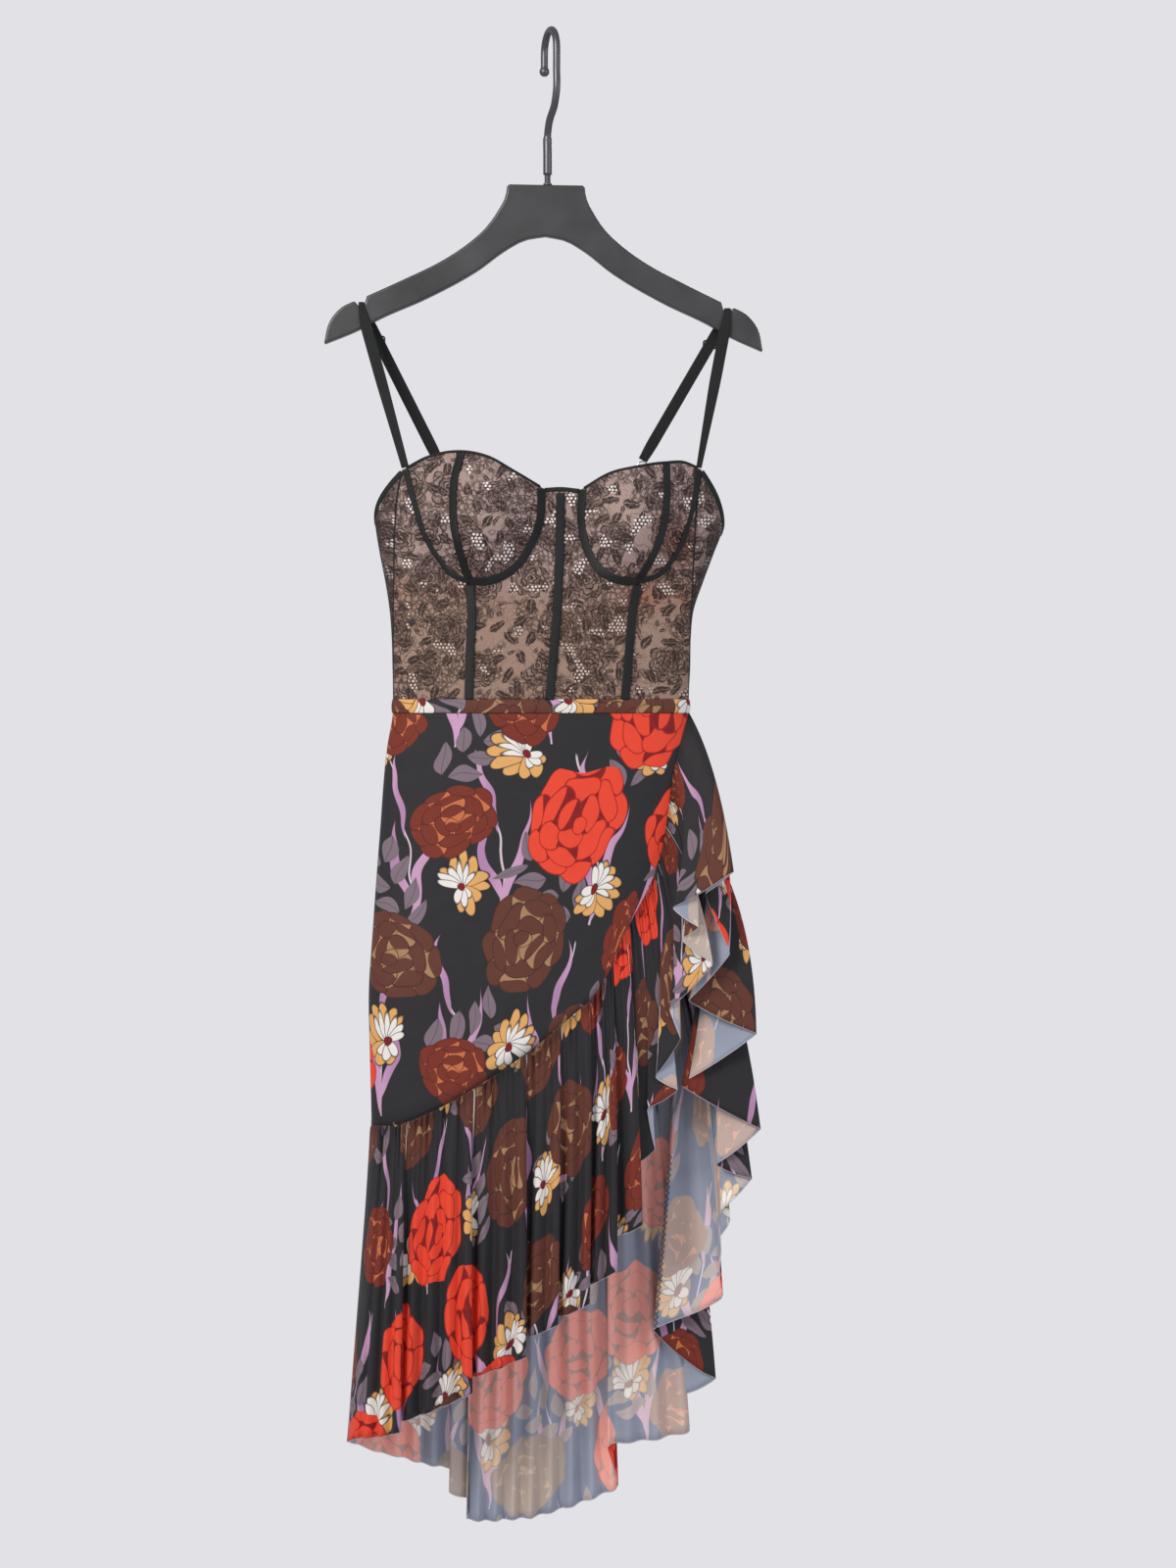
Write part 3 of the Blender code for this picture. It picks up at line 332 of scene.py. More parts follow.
class Flow:
    # a value in a node tree; arithmetic on it adds Math nodes
    def __init__(self, tree, socket):
        self.tree, self.socket = tree, socket

    def combined(self, operation, *values, clamp=False):
        node = self.tree.nodes.new("ShaderNodeMath")
        node.operation = operation
        node.use_clamp = clamp
        for socket, value in zip(node.inputs, values):
            plug(self.tree, value, socket)
        return Flow(self.tree, node.outputs[0])

    def scaled(self, factor, extra, clamp=False):
        return self.combined("MULTIPLY_ADD", self, factor, extra, clamp=clamp)

    def step(self, soft):
        # 0 below zero and 1 above it, with a ramp as wide as soft
        return self.scaled(1 / soft, 0.5, clamp=True)

    def held(self):
        # kept from 0 to 1
        return self.most(0.0).least(1.0)

    __add__, __radd__ = mathNode("ADD"), mathNode("ADD", swapped=True)
    __sub__, __rsub__ = mathNode("SUBTRACT"), mathNode("SUBTRACT", swapped=True)
    __mul__, __rmul__ = mathNode("MULTIPLY"), mathNode("MULTIPLY", swapped=True)
    __truediv__, __pow__, __abs__ = mathNode("DIVIDE"), mathNode("POWER"), mathNode("ABSOLUTE")
    floor, fraction = mathNode("FLOOR"), mathNode("FRACT")
    sine, cosine = mathNode("SINE"), mathNode("COSINE")
    least, most = mathNode("MINIMUM"), mathNode("MAXIMUM")


def plug(tree, value, socket):
    if isinstance(value, Flow):
        tree.links.new(value.socket, socket)
    else:
        socket.default_value = value


def paint(code):
    # #rrggbb as linear red, green, blue and alpha
    parts = [int(code[place:place + 2], 16) / 255 for place in (1, 3, 5)]
    return (*[part / 12.92 if part < 0.04045 else ((part + 0.055) / 1.055) ** 2.4 for part in parts], 1)


def tintsOf(look):
    # the colours in a dictionary of looks, by name
    return {name: paint(code) for name, code in look.items() if isinstance(code, str)}


def mixed(tree, mask, low, high, blend="MIX"):
    node = tree.nodes.new("ShaderNodeMix")
    node.data_type, node.blend_type = "RGBA", blend
    plug(tree, mask, node.inputs["Factor"])
    plug(tree, low, node.inputs[6])
    plug(tree, high, node.inputs[7])
    return Flow(tree, node.outputs[2])


def noise(tree, vector, scale, detail=2.0):
    node = tree.nodes.new("ShaderNodeTexNoise")
    plug(tree, vector, node.inputs["Vector"])
    node.inputs["Scale"].default_value = scale
    node.inputs["Detail"].default_value = detail
    return Flow(tree, node.outputs[0])


def joined(tree, x, y, z=0.0):
    node = tree.nodes.new("ShaderNodeCombineXYZ")
    for value, socket in zip((x, y, z), node.inputs):
        plug(tree, value, socket)
    return Flow(tree, node.outputs[0])


def parted(tree, vector):
    node = tree.nodes.new("ShaderNodeSeparateXYZ")
    plug(tree, vector, node.inputs[0])
    return [Flow(tree, output) for output in node.outputs]


def luck(tree, column, row, seed):
    # three random numbers for each cell
    node = tree.nodes.new("ShaderNodeTexWhiteNoise")
    node.noise_dimensions = "3D"
    plug(tree, joined(tree, column, row, seed), node.inputs["Vector"])
    colour = tree.nodes.new("ShaderNodeSeparateColor")
    tree.links.new(node.outputs["Color"], colour.inputs[0])
    return [Flow(tree, output) for output in colour.outputs]


def effect(name, inputs, outputs, build):
    # a shader node group: build gets the tree and the named inputs and gives back the outputs in order
    tree = bpy.data.node_groups.new(name, "ShaderNodeTree")
    for label, kind, value in inputs:
        socket = tree.interface.new_socket(label, in_out="INPUT", socket_type=kind)
        if value is not None:
            socket.default_value = value
    for label, kind in outputs:
        tree.interface.new_socket(label, in_out="OUTPUT", socket_type=kind)
    start, end = tree.nodes.new("NodeGroupInput"), tree.nodes.new("NodeGroupOutput")
    given = [Flow(tree, start.outputs[label]) for label, _, _ in inputs]
    for (label, _), value in zip(outputs, build(tree, *given)):
        plug(tree, value, end.inputs[label])
    return tree


def placed(tree, group, **values):
    # a group in a material, with its inputs set by name and its outputs by name
    node = tree.nodes.new("ShaderNodeGroup")
    node.node_tree = group
    for label, value in values.items():
        plug(tree, value, node.inputs[label])
    return {output.name: Flow(tree, output) for output in node.outputs}


def brick(tree, x, y, wide, tall, wander, seed):
    # a brick grid of cells: the place from a wandering middle, and three random numbers
    row = (y / tall).floor()
    shifted = x / wide + (row * 0.5).fraction()
    chance = luck(tree, shifted.floor(), row, seed)
    right = (shifted.fraction() - 0.5) * wide + (chance[0] - 0.5) * wander
    up = ((y / tall).fraction() - 0.5) * tall + (chance[1] - 0.5) * wander
    return right, up, chance


def turned(x, y, angle):
    cosine, sine = angle.cosine(), angle.sine()
    return x * cosine - y * sine, x * sine + y * cosine


def polar(x, y):
    radius = (x * x + y * y) ** 0.5
    return radius, x.combined("ARCTAN2", y, x)


def lobes(angle, count, phase, sharp=0.5):
    # rounded lobes with sharp notches between them
    return abs((angle * (count / 2) + phase).cosine()) ** sharp


printLook = {
    "ground": "#29282b", "ribbon": "#d0a2c6", "ribbonShade": "#b78ab2", "spray": "#82727d", "stem": "#dccbd6",
    "red": "#f24a30", "redDeep": "#86161a", "redLine": "#a81c18",
    "rust": "#7d2f20", "rustLight": "#cf7448", "rustLine": "#4d1a12",
    "brown": "#66382b", "brownLight": "#ae8560", "brownLine": "#402720",
    "cream": "#f3efe9", "apricot": "#e8b06a", "heart": "#7c161c", "line": "#232023",
    # brick cells of each motif: width, height, how far a middle wanders, seed of its random numbers
    "cells": {"ribbon": (98, 186, 14, 3.0), "spray": (168, 150, 24, 11.0), "bud": (142, 150, 20, 23.0),
              "flower": (138, 118, 20, 5.0)},
    # petals from the back to the front: across, up, half width, half length, degrees to the left, and
    # height of the base colour
    "petals": [
        (-19, 31, 18, 15, 30, -0.15), (11, 36, 19, 13, -14, -0.5), (34, 20, 17, 15, -56, 0.0),
        (40, -4, 17, 13, -98, -0.45), (-38, 12, 17, 14, 74, -0.45), (-37, -14, 17, 14, 112, 0.05),
        (-17, -32, 18, 14, 154, -0.4), (11, -34, 18, 13, 196, 0.05), (33, -21, 16, 14, 232, -0.35),
        (-19, 15, 19, 16, 48, 0.05), (9, 22, 20, 15, -14, -0.35), (26, 3, 17, 16, -82, 0.1),
        (-22, -9, 18, 14, 112, -0.4), (1, -21, 20, 14, 178, 0.1), (20, -15, 15, 13, 222, -0.4),
        (-7, 7, 17, 14, 36, -0.2), (12, 3, 14, 14, -84, -0.45), (-1, -8, 15, 11, 182, -0.1),
        (3, 4, 9, 10, -8, -0.5),
    ],
    # narrow petals round the heart: degrees to the left, length, width, whether it is the pale colour
    "spokes": [
        (108, 29, 13, 0), (80, 33, 13, 0), (54, 36, 13, 0), (29, 36, 12, 0), (6, 33, 11, 0), (-15, 29, 9, 0),
        (146, 26, 14, 0), (176, 29, 12, 0), (206, 22, 11, 0), (66, 23, 5.5, 1), (41, 26, 6, 1), (18, 27, 6, 1),
        (-4, 26, 7, 1), (-28, 25, 8.5, 1), (-50, 21, 8, 1), (160, 16, 8, 1), (190, 19, 8, 1), (228, 16, 8, 1),
    ],
}


tint = tintsOf(printLook)


def petal(tree, under, place, middle, half, turn, main, line, base=None, deep=0.0, rim=1.0):
    # an egg shape with a fine outline; the base colour fills it below a hollow curve
    petalBlur = 0.7
    node = tree.nodes.new("ShaderNodeMapping")
    node.vector_type = "TEXTURE"
    plug(tree, place, node.inputs["Vector"])
    node.inputs["Location"].default_value = (*middle, 0)
    node.inputs["Rotation"].default_value = (0, 0, math.radians(turn))
    node.inputs["Scale"].default_value = (*half, 1)
    x, y, _ = parted(tree, Flow(tree, node.outputs[0]))
    x = x / y.scaled(0.2, 1.0)
    wide = x * x
    radius = y.scaled(y, wide) ** 0.5
    crisp = min(half) / petalBlur
    outer = radius.scaled(-crisp, crisp + 0.5 + rim / petalBlur, clamp=True)
    inner = radius.scaled(-crisp, crisp + 0.5, clamp=True)
    if base is not None:
        height = wide.scaled(0.4, deep) - y
        main = mixed(tree, height.scaled(crisp, 0.5, clamp=True), main, base)
    return mixed(tree, outer, under, mixed(tree, inner, line, main)), outer


def blade(x, share, lean, bend, wide, first, last, phase):
    # a curved band that tapers to both ends
    share = ((share - first) / (last - first)).held()
    middle = share * lean + (share * 5.4 + phase).sine() * bend * share
    taper = (share * (1.3 - share) * 2.37) * (share * (math.pi / 2)).cosine()
    half = taper * ((share * 4.2 + phase).sine() * 0.2 + 0.9) * wide
    return (half - 0.45 - abs(x - middle)).step(0.8)


def buildPrint(tree, vector):
    # flat flowers in layers: ribbons and stems, sprays of leaves, side-on flowers, then full flowers
    wobble, wobbleY = noise(tree, vector, 27.0, 0.0) - 0.5, noise(tree, vector, 33.0, 0.0) - 0.5
    x, y, _ = parted(tree, vector)
    x, y = x * 1000 + wobble * 15, y * 1000 + wobbleY * 15
    cells, colour = printLook["cells"], tint["ground"]

    # ribbons: curved blades and thin stems rise from the foot of each tall cell
    reedX, reedY, reedLuck = brick(tree, x + 30, y, *cells["ribbon"])
    rise = ((reedY + 90) / 180).held()
    inside = (90 - abs(reedY)).step(1.0)
    reedX = reedX * ((reedLuck[2] - 0.5).step(0.001) * 2 - 1)
    reeds = blade(reedX, rise, -26, 9, 8.6, 0.0, 0.72, 0.4)
    reeds = reeds.most(blade(reedX, rise, 24, -8, 10.5, 0.12, 0.62, 2.2))
    reeds = reeds.most(blade(reedX - 6, rise, 10, 9, 8.0, 0.5, 1.0, 4.0)) * inside
    stem = (0.95 - abs(reedX - rise * rise * 30 + (rise * 3.0).sine() * 4)).step(0.6)
    colour = mixed(tree, stem * inside * (0.97 - rise).step(0.02), colour, tint["stem"])
    ribbon = mixed(tree, (reedX * 0.12 + reedY * 0.025).sine().step(1.8), tint["ribbon"],
                   tint["ribbonShade"])
    colour = mixed(tree, reeds, colour, ribbon)

    # sprays: pointed leaves in pairs along a stem
    sprayX, sprayY, sprayLuck = brick(tree, x + 61, y + 52, *cells["spray"])
    sprayX, sprayY = turned(sprayX, sprayY, sprayLuck[2] * 2.4 - 1.2)
    sprayX = sprayX + sprayY * sprayY * 0.004
    leafY = (sprayY / 24).fraction() * 24 - 12
    leafX = abs(sprayX) - 15.5
    along, beside = leafX * 0.74 + leafY * 0.67, leafY * 0.74 - leafX * 0.67
    leaf = (1 - (along / 16.5) * (along / 16.5)) * (7.6 - along * 0.12) - abs(beside)
    spray = leaf.step(0.7) * (47 - abs(sprayY)).step(0.6) * (44 - abs(sprayX)).step(0.6)
    vein = (0.4 - abs(beside)).step(0.5) * 0.5
    colour = mixed(tree, spray, colour, mixed(tree, vein, tint["spray"], tint["line"]))
    motif = reeds.most(spray)

    # side-on flowers
    budX, budY, budLuck = brick(tree, x + 12, y + 66, *cells["bud"])
    budX, budY = turned(budX, budY, budLuck[2] * 2.2 - 1.1)
    budX = budX * ((budLuck[0] - 0.5).step(0.001) * 2 - 1)
    place = joined(tree, budX, budY)
    tones = (tint["apricot"], tint["cream"])
    for turn, length, wide, pale in printLook["spokes"]:
        way = math.radians(turn)
        middle = (-math.sin(way) * length * 0.52, math.cos(way) * length * 0.52)
        colour, cover = petal(tree, colour, place, middle, (wide / 2, length / 2), turn, tones[pale],
                              tint["line"], rim=0.7)
        motif = motif.most(cover)
    colour, _ = petal(tree, colour, place, (0, 0), (4.4, 4.8), 0, tint["heart"], tint["line"], rim=0.2)

    # full flowers in three colours
    bloomX, bloomY, bloomLuck = brick(tree, x + 155, y - 61, *cells["flower"])
    bloomX, bloomY = turned(bloomX, bloomY, bloomLuck[2] * 6.2)
    kind = bloomLuck[0]
    rust, red = (kind - 0.32).step(0.001), (kind - 0.7).step(0.001)
    tones = (("", "red"), ("Light", "redDeep"), ("Line", "redLine"))
    shades = [mixed(tree, red, mixed(tree, rust, tint["brown" + tone], tint["rust" + tone]), tint[redTone])
              for tone, redTone in tones]
    swell = 1.06 - red * 0.1 + rust * (1 - red) * 0.24
    place = joined(tree, bloomX * swell * (0.88 + bloomLuck[1] * 0.16), bloomY * swell * 1.12)
    for across, up, wide, tall, turn, deep in printLook["petals"]:
        colour, cover = petal(tree, colour, place, (across, up), (wide, tall), turn, shades[0], shades[2],
                              shades[1], deep, 0.9)
        motif = motif.most(cover)
    cloudy = noise(tree, vector, 90.0, 3.0)
    colour = mixed(tree, (cloudy - 0.5).step(1.4) * 0.14, colour, paint("#000000"))
    return colour, motif


floralPrint = effect("floralPrint", [("Place", "NodeSocketVector", None)],
                     [("Colour", "NodeSocketColor"), ("Motif", "NodeSocketFloat")], buildPrint)


def buildWeave(tree, vector, pitch):
    # height of a plain weave: threads over and under each other, with a little slub
    x, y, _ = parted(tree, vector)
    across = (x / pitch * (2 * math.pi)).sine()
    down = (y / pitch * (2 * math.pi)).sine()
    slub = noise(tree, vector, 700.0, 2.0)
    return (across * down * 0.5 + slub * 0.6,)


weaveRelief = effect(
    "weaveRelief", [("Place", "NodeSocketVector", None), ("Pitch", "NodeSocketFloat", 0.0006)],
    [("Height", "NodeSocketFloat")], buildWeave)

laceLook = {
    "nude": "#bd9e8d", "rosy": "#cdb4ae", "warmthAndSideShade": "#b8694a", "thread": "#0f0b0a", "threadBrown": "#291814",
    "bright": "#f6ebe6", "inside": "#5b463d", "net": 1.7, "cord": 1.7,
    # leaves and sprigs: cell width and height, length and half width, seed, how few there are
    "leaves": [(20, 17, 9.5, 4.2, 31.0, 0.4), (11.5, 10, 4.6, 2.1, 37.0, 0.68)],
    # a rose's rings: radius, lobes, turn, how deep its notches are, how much thread covers it
    "rings": [(21, 8, 0.2, 0.74, 0.72), (15.5, 7, 1.4, 0.74, 0.42), (11, 5, 0.6, 0.7, 0.8),
              (6.5, 4, 0.2, 0.72, 0.4), (3, 3, 1.2, 0.8, 0.85)],
}
laceTint = tintsOf(laceLook)


def buildLace(tree, vector, dense, warmthAndSideShade):
    # lining seen through net, with roses, leaves, sprigs and clusters of open holes worked in dark thread
    wobble, wobbleY = noise(tree, vector, 75.0, 3.0) - 0.5, noise(tree, vector, 88.0, 3.0) - 0.5
    x, y, _ = parted(tree, vector)
    plainX, plainY = x * 1000, y * 1000
    x, y = plainX + wobble * 9, plainY + wobbleY * 9
    cloudy, fine = noise(tree, vector, 26.0, 2.0), noise(tree, vector, 420.0, 2.0)

    # net: two families of slanting threads
    pitch = math.pi / laceLook["net"]
    net = abs(((plainX + plainY * 0.5) * pitch).sine()).least(abs(((plainX - plainY * 0.5) * pitch).sine()))
    cover = (0.34 - net).step(0.4) * 0.6 + 0.06

    # small cells of thread between the motifs
    mesh = tree.nodes.new("ShaderNodeTexVoronoi")
    mesh.feature = "DISTANCE_TO_EDGE"
    plug(tree, joined(tree, x, y), mesh.inputs["Vector"])
    mesh.inputs["Scale"].default_value = 0.2
    web = Flow(tree, mesh.outputs["Distance"])
    patchy = (cloudy + dense * 0.24 - 0.58).step(0.08)
    cover = cover.most((0.15 - web).step(0.1) * patchy * 0.8)

    # leaves, then sprigs of smaller ones
    for wide, tall, length, half, seed, share in laceLook["leaves"]:
        leafX, leafY, chance = brick(tree, x + wide * 0.4, y + tall, wide, tall, wide * 0.4, seed)
        leafX, leafY = turned(leafX, leafY, chance[2] * 6.2)
        shape = (1 - (leafX / length) * (leafX / length)) * half - abs(leafY)
        rib = (abs(leafY) - 0.5).step(0.5)
        body = shape.step(0.7) * (0.6 + rib * 0.34) * (chance[0] + dense * 0.45 - share).step(0.02)
        cover = cover.most(body)

    # roses: lobed rings, by turns sheer and dense, each edged with cord
    roseX, roseY, roseLuck = brick(tree, x + 9, y, 50, 44, 12, 7.0)
    roseX, roseY = turned(roseX, roseY, roseLuck[2] * 6.2)
    roseR, roseA = polar(roseX, roseY)
    roseR = roseR * (0.95 + roseLuck[1] * 0.3)
    rose, cords = None, None
    for radius, count, phase, hollow, cloth in laceLook["rings"]:
        rim = radius * (hollow + (1 - hollow) * lobes(roseA, count, phase)) - roseR
        cord = rim.step(0.5) * (laceLook["cord"] - rim).step(0.6)
        rose = rim.step(0.5) * cloth if rose is None else toward(rose, cloth, rim.step(0.5))
        cords = cord if cords is None else cords.most(cord)
    there = (roseLuck[0] + dense * 0.8 - 0.5).step(0.02)
    rose = (rose + (fine - 0.5) * 0.8) * roseX.sine().scaled(0.14, 0.9)
    cover = cover.most(rose.most(cords * 0.97) * there * (23 - roseR).step(2))
    # a cord wanders between the motifs
    scroll = abs((cloudy * 30 + (x * 0.13).sine() * 0.6).sine())
    cover = cover.most((0.2 - scroll).step(0.16) * (0.25 + dense * 0.55))

    # open holes in clusters, where the lining shows bright
    holeX, holeY, _ = brick(tree, plainX + wobble * 4, plainY, 3.9, 3.4, 0.9, 41.0)
    holeR, _ = polar(holeX, holeY)
    upper = (y + 592).step(50)
    cluster = (noise(tree, vector, 46.0, 1.0) + dense * 0.07 + upper * 0.02 - 0.685).step(0.02)
    holes = (1.3 - holeR).step(0.5) * cluster
    cover = cover.most(cluster * 0.8) * (1 - holes)
    cover = (cover + (fine - 0.5) * 0.7 * (cover + 0.2)).most(0.0).least(0.98)

    lining = mixed(tree, upper * 0.75, laceTint["nude"], laceTint["rosy"])
    lining = mixed(tree, warmthAndSideShade, lining, laceTint["warmthAndSideShade"])
    lining = mixed(tree, holes * (0.35 + upper * 0.65), lining, laceTint["bright"])
    thread = mixed(tree, cloudy.step(1.0), laceTint["thread"], laceTint["threadBrown"])
    return mixed(tree, cover, lining, thread), cover


floralLace = effect(
    "floralLace",
    [("Place", "NodeSocketVector", None), ("Dense", "NodeSocketFloat", 0.5), ("Warm", "NodeSocketFloat", 0.0)],
    [("Colour", "NodeSocketColor"), ("Cover", "NodeSocketFloat")], buildLace)


def newMaterial(name, sockets):
    # a material, its tree and its Principled BSDF, with the sockets that are the same all over
    material = bpy.data.materials.new(name)
    material.use_nodes = True
    tree = material.node_tree
    shader = tree.nodes["Principled BSDF"]
    for label, value in sockets.items():
        shader.inputs[label].default_value = value
    return material, tree, shader


def uvPlace(tree, layer="cloth"):
    node = tree.nodes.new("ShaderNodeUVMap")
    node.uv_map = layer
    return Flow(tree, node.outputs[0])


def objectPlace(tree):
    return Flow(tree, tree.nodes.new("ShaderNodeTexCoord").outputs["Object"])


def bumped(tree, shader, height, strength, distance):
    node = tree.nodes.new("ShaderNodeBump")
    node.inputs["Strength"].default_value = strength
    node.inputs["Distance"].default_value = distance
    plug(tree, height, node.inputs["Height"])
    tree.links.new(node.outputs[0], shader.inputs["Normal"])


def crumpled(tree, place, shader, relief, more=0.0):
    # weave plus the soft crumple of packed cloth
    weave = placed(tree, weaveRelief, Place=place, Pitch=0.0007)["Height"]
    soft = noise(tree, place, 24.0, 3.0)
    bumped(tree, shader, weave * 0.1 + soft * relief + more, 0.6, 0.0011)


coverLook = {
    # the two seam colours are painted shadow along the seam where the skirt's edge lies over the ruffle
    "rawEdge": "#c6bfc6", "paintedSeamShadow": "#121113", "wrongRawEdge": "#e6e2e2", "wrongSidePaintedSeamShadow": "#4a4e59",
    "wrongCool": "#858fa3", "wrongPale": "#a9afbe", "wrongMotif": "#bbb2a2", "struckThrough": 0.68,
    "wornTape": "#303735", "handled": "#77777a", "crumple": 2.6,
}
coverTint = tintsOf(coverLook)


def printedMaterial():
    material, tree, shader = newMaterial("printedCloth", {
        "Specular IOR Level": 0.28, "Sheen Weight": 0.05, "Sheen Roughness": 0.5})
    place, edge = uvPlace(tree), uvPlace(tree, "edge")
    motif = placed(tree, floralPrint, Place=place)
    fromHem, fromSeam, _ = parted(tree, edge)
    raw = (0.0009 - fromHem).step(0.0004)
    colour = mixed(tree, raw * 0.8, motif["Colour"], coverTint["rawEdge"])
    # painted shadow: darker along the seam between skirt and ruffle
    colour = mixed(tree, (0.010 - fromSeam).step(0.012) * 0.4, colour, coverTint["paintedSeamShadow"])
    plug(tree, colour, shader.inputs["Base Color"])
    plug(tree, 0.55 + noise(tree, place, 60.0) * 0.16, shader.inputs["Roughness"])
    crumpled(tree, place, shader, coverLook["crumple"])
    return material


def wrongSideMaterial():
    # the print strikes through faintly: a pale ground with part of the print added to it
    material, tree, shader = newMaterial("printedClothWrongSide", {
        "Roughness": 0.7, "Specular IOR Level": 0.3, "Sheen Weight": 0.12})
    place, edge = uvPlace(tree), uvPlace(tree, "edge")
    motif = placed(tree, floralPrint, Place=place)
    ground = mixed(tree, noise(tree, place, 16.0, 2.0), coverTint["wrongCool"], coverTint["wrongPale"])
    colour = mixed(tree, motif["Motif"] * 0.8, ground, coverTint["wrongMotif"])
    colour = mixed(tree, coverLook["struckThrough"], colour, motif["Colour"], "ADD")
    fromHem, fromSeam, _ = parted(tree, edge)
    colour = mixed(tree, (0.0012 - fromHem).step(0.0006) * 0.7, colour, coverTint["wrongRawEdge"])
    # painted shadow: darker along the seam on the wrong side
    colour = mixed(tree, (0.012 - fromSeam).step(0.016) * 0.5, colour, coverTint["wrongSidePaintedSeamShadow"])
    plug(tree, colour, shader.inputs["Base Color"])
    crumpled(tree, place, shader, coverLook["crumple"])
    return material


def laceMaterial(name, side="lined"):
    # the second painted value warms the lining, or on the unlined back darkens the cloth towards its sides as
    # painted shade where it turns edge-on
    material, tree, shader = newMaterial(name, {"Specular IOR Level": 0.25, "Sheen Weight": 0.04})
    place, (dense, warmthAndSideShade, _) = uvPlace(tree), parted(tree, uvPlace(tree, "edge"))
    lace = placed(tree, floralLace, Place=place, Dense=dense, Warm=warmthAndSideShade if side == "lined" else 0.0)
    colour = lace["Colour"]
    if side == "inside":
        colour = mixed(tree, lace["Cover"] * 0.35, laceTint["nude"], laceTint["inside"])
    # painted shade: the unlined back darkens to thread colour towards its sides
    elif side == "unlined":
        colour = mixed(tree, warmthAndSideShade, colour, laceTint["thread"])
    plug(tree, colour, shader.inputs["Base Color"])
    plug(tree, 0.8 - lace["Cover"] * 0.18, shader.inputs["Roughness"])
    crumpled(tree, place, shader, 0.5, lace["Cover"] * 0.9)
    return material


def tapeMaterial(name, shade, roughness, pitch, ribs):
    # narrow woven tape: ribs run along it, and cross threads catch the light
    material, tree, shader = newMaterial(name, {"Specular IOR Level": 0.32})
    around, along, _ = parted(tree, uvPlace(tree))
    rib = (around / ribs * (2 * math.pi)).sine()
    cross = (along / pitch * (2 * math.pi)).sine()
    worn = noise(tree, objectPlace(tree), 45.0, 3.0)
    colour = mixed(tree, (worn - 0.5).step(0.7) * 0.3, paint(shade), coverTint["wornTape"])
    plug(tree, colour, shader.inputs["Base Color"])
    plug(tree, roughness + worn * 0.15, shader.inputs["Roughness"])
    bumped(tree, shader, rib * 0.4 + cross * 0.5 + worn * 0.8, 0.5, 0.0003)
    return material


def hardMaterial(name, shade, roughness, metallic, grain, coat=0.0):
    # moulded plastic or metal: fine grain, and slight changes of gloss from handling
    material, tree, shader = newMaterial(name, {
        "Metallic": metallic, "Coat Weight": coat, "Coat Roughness": 0.25})
    place = objectPlace(tree)
    grainy, handled = noise(tree, place, grain, 2.0), noise(tree, place, 18.0, 3.0)
    colour = mixed(tree, (handled - 0.5).step(0.8) * 0.3, paint(shade), coverTint["handled"])
    plug(tree, colour, shader.inputs["Base Color"])
    plug(tree, roughness + handled * 0.16, shader.inputs["Roughness"])
    bumped(tree, shader, grainy, 0.25, 0.0002)
    return material


cloth, clothBack = printedMaterial(), wrongSideMaterial()
lace, laceInside = laceMaterial("floralLaceCloth"), laceMaterial("liningInside", "inside")
laceBack = laceMaterial("floralLaceUnlined", "unlined")
satin = tapeMaterial("satinTape", "#0d100f", 0.3, 0.0007, 0.0016)
bindingTape = tapeMaterial("bindingTape", "#090a0a", 0.5, 0.0009, 0.0014)
elastic = tapeMaterial("strapElastic", "#121214", 0.6, 0.0011, 0.0013)
hangerFinish = hardMaterial("satinBlackPlastic", "#2b2b2c", 0.28, 0.0, 900.0, coat=0.15)
hookFinish = hardMaterial("hookMetal", "#5c5c60", 0.3, 0.85, 700.0)
ringFinish = hardMaterial("ringMetal", "#e9e9ec", 0.16, 1.0, 900.0)
sliderFinish = hardMaterial("sliderPlastic", "#1c1c1e", 0.3, 0.0, 900.0)
print("stage: materials ready")


hanger = {
    "middle": 556.5, "thick": 13.0, "tilt": math.radians(1.0), "pivot": 250.0, "edge": 2.8,
    # half of the outline, out from the middle and down, from the top round the tip to the middle below
    "half": [
        (37, 192), (39.5, 194), (41, 204), (49, 220), (62, 238), (80, 254), (102, 269), (145, 291),
        (180, 307.5), (182.5, 316), (189, 317), (192, 312.5), (205, 319), (217, 333), (223, 357),
        (186, 341), (168, 331), (120, 309), (67, 279), (39, 258), (21, 248), (0, 244),
    ],
    # stretches between these points are curved, the rest are straight
    "curved": [(1, 8), (11, 14), (14, 21)],
}


def hangerOutline():
    # the half outline with its long stretches smoothed, mirrored and turned by the tilt
    half, pieces, at = np.array(hanger["half"], float), [], 0
    for first, last in hanger["curved"]:
        pieces.append(half[at:first])
        pieces.append(through(half[first:last + 1], 4 * (last - first) + 1)[:-1])
        at = last
    pieces.append(half[at:])
    half = np.vstack(pieces)
    outline = np.vstack([half, half[-2::-1] * [-1, 1]])
    cosine, sine = math.cos(hanger["tilt"]), math.sin(hanger["tilt"])
    below = outline[:, 1] - hanger["pivot"]
    return np.stack([outline[:, 0] * cosine - below * sine + hanger["middle"],
                     outline[:, 0] * sine + below * cosine + hanger["pivot"]], axis=1)


def hangerShape():
    # the outline pushed out to both faces, with rounded edges
    outline = hangerOutline()
    count = len(outline)
    faces = [spot(outline[:, 0], way * hanger["thick"] / 2, outline[:, 1]) for way in (-1, 1)]
    points = np.concatenate(faces)
    number = np.arange(count)
    after = np.roll(number, -1)
    sides = np.stack([after, number, number + count, after + count], axis=1).tolist()
    mesh = bpy.data.meshes.new("hangerShape")
    mesh.from_pydata(points.tolist(), [], [number.tolist(), (number + count)[::-1].tolist()] + sides)
    facedOut(mesh)
    piece = linked("hangerShape", mesh)
    finishPiece(piece, [hangerFinish], "hanger_body")
    mesh.shade_smooth()
    edge = piece.modifiers.new("edge", "BEVEL")
    edge.width, edge.segments, edge.limit_method = hanger["edge"] / 1000, 4, "ANGLE"
    edge.angle_limit, edge.harden_normals = math.radians(75), True


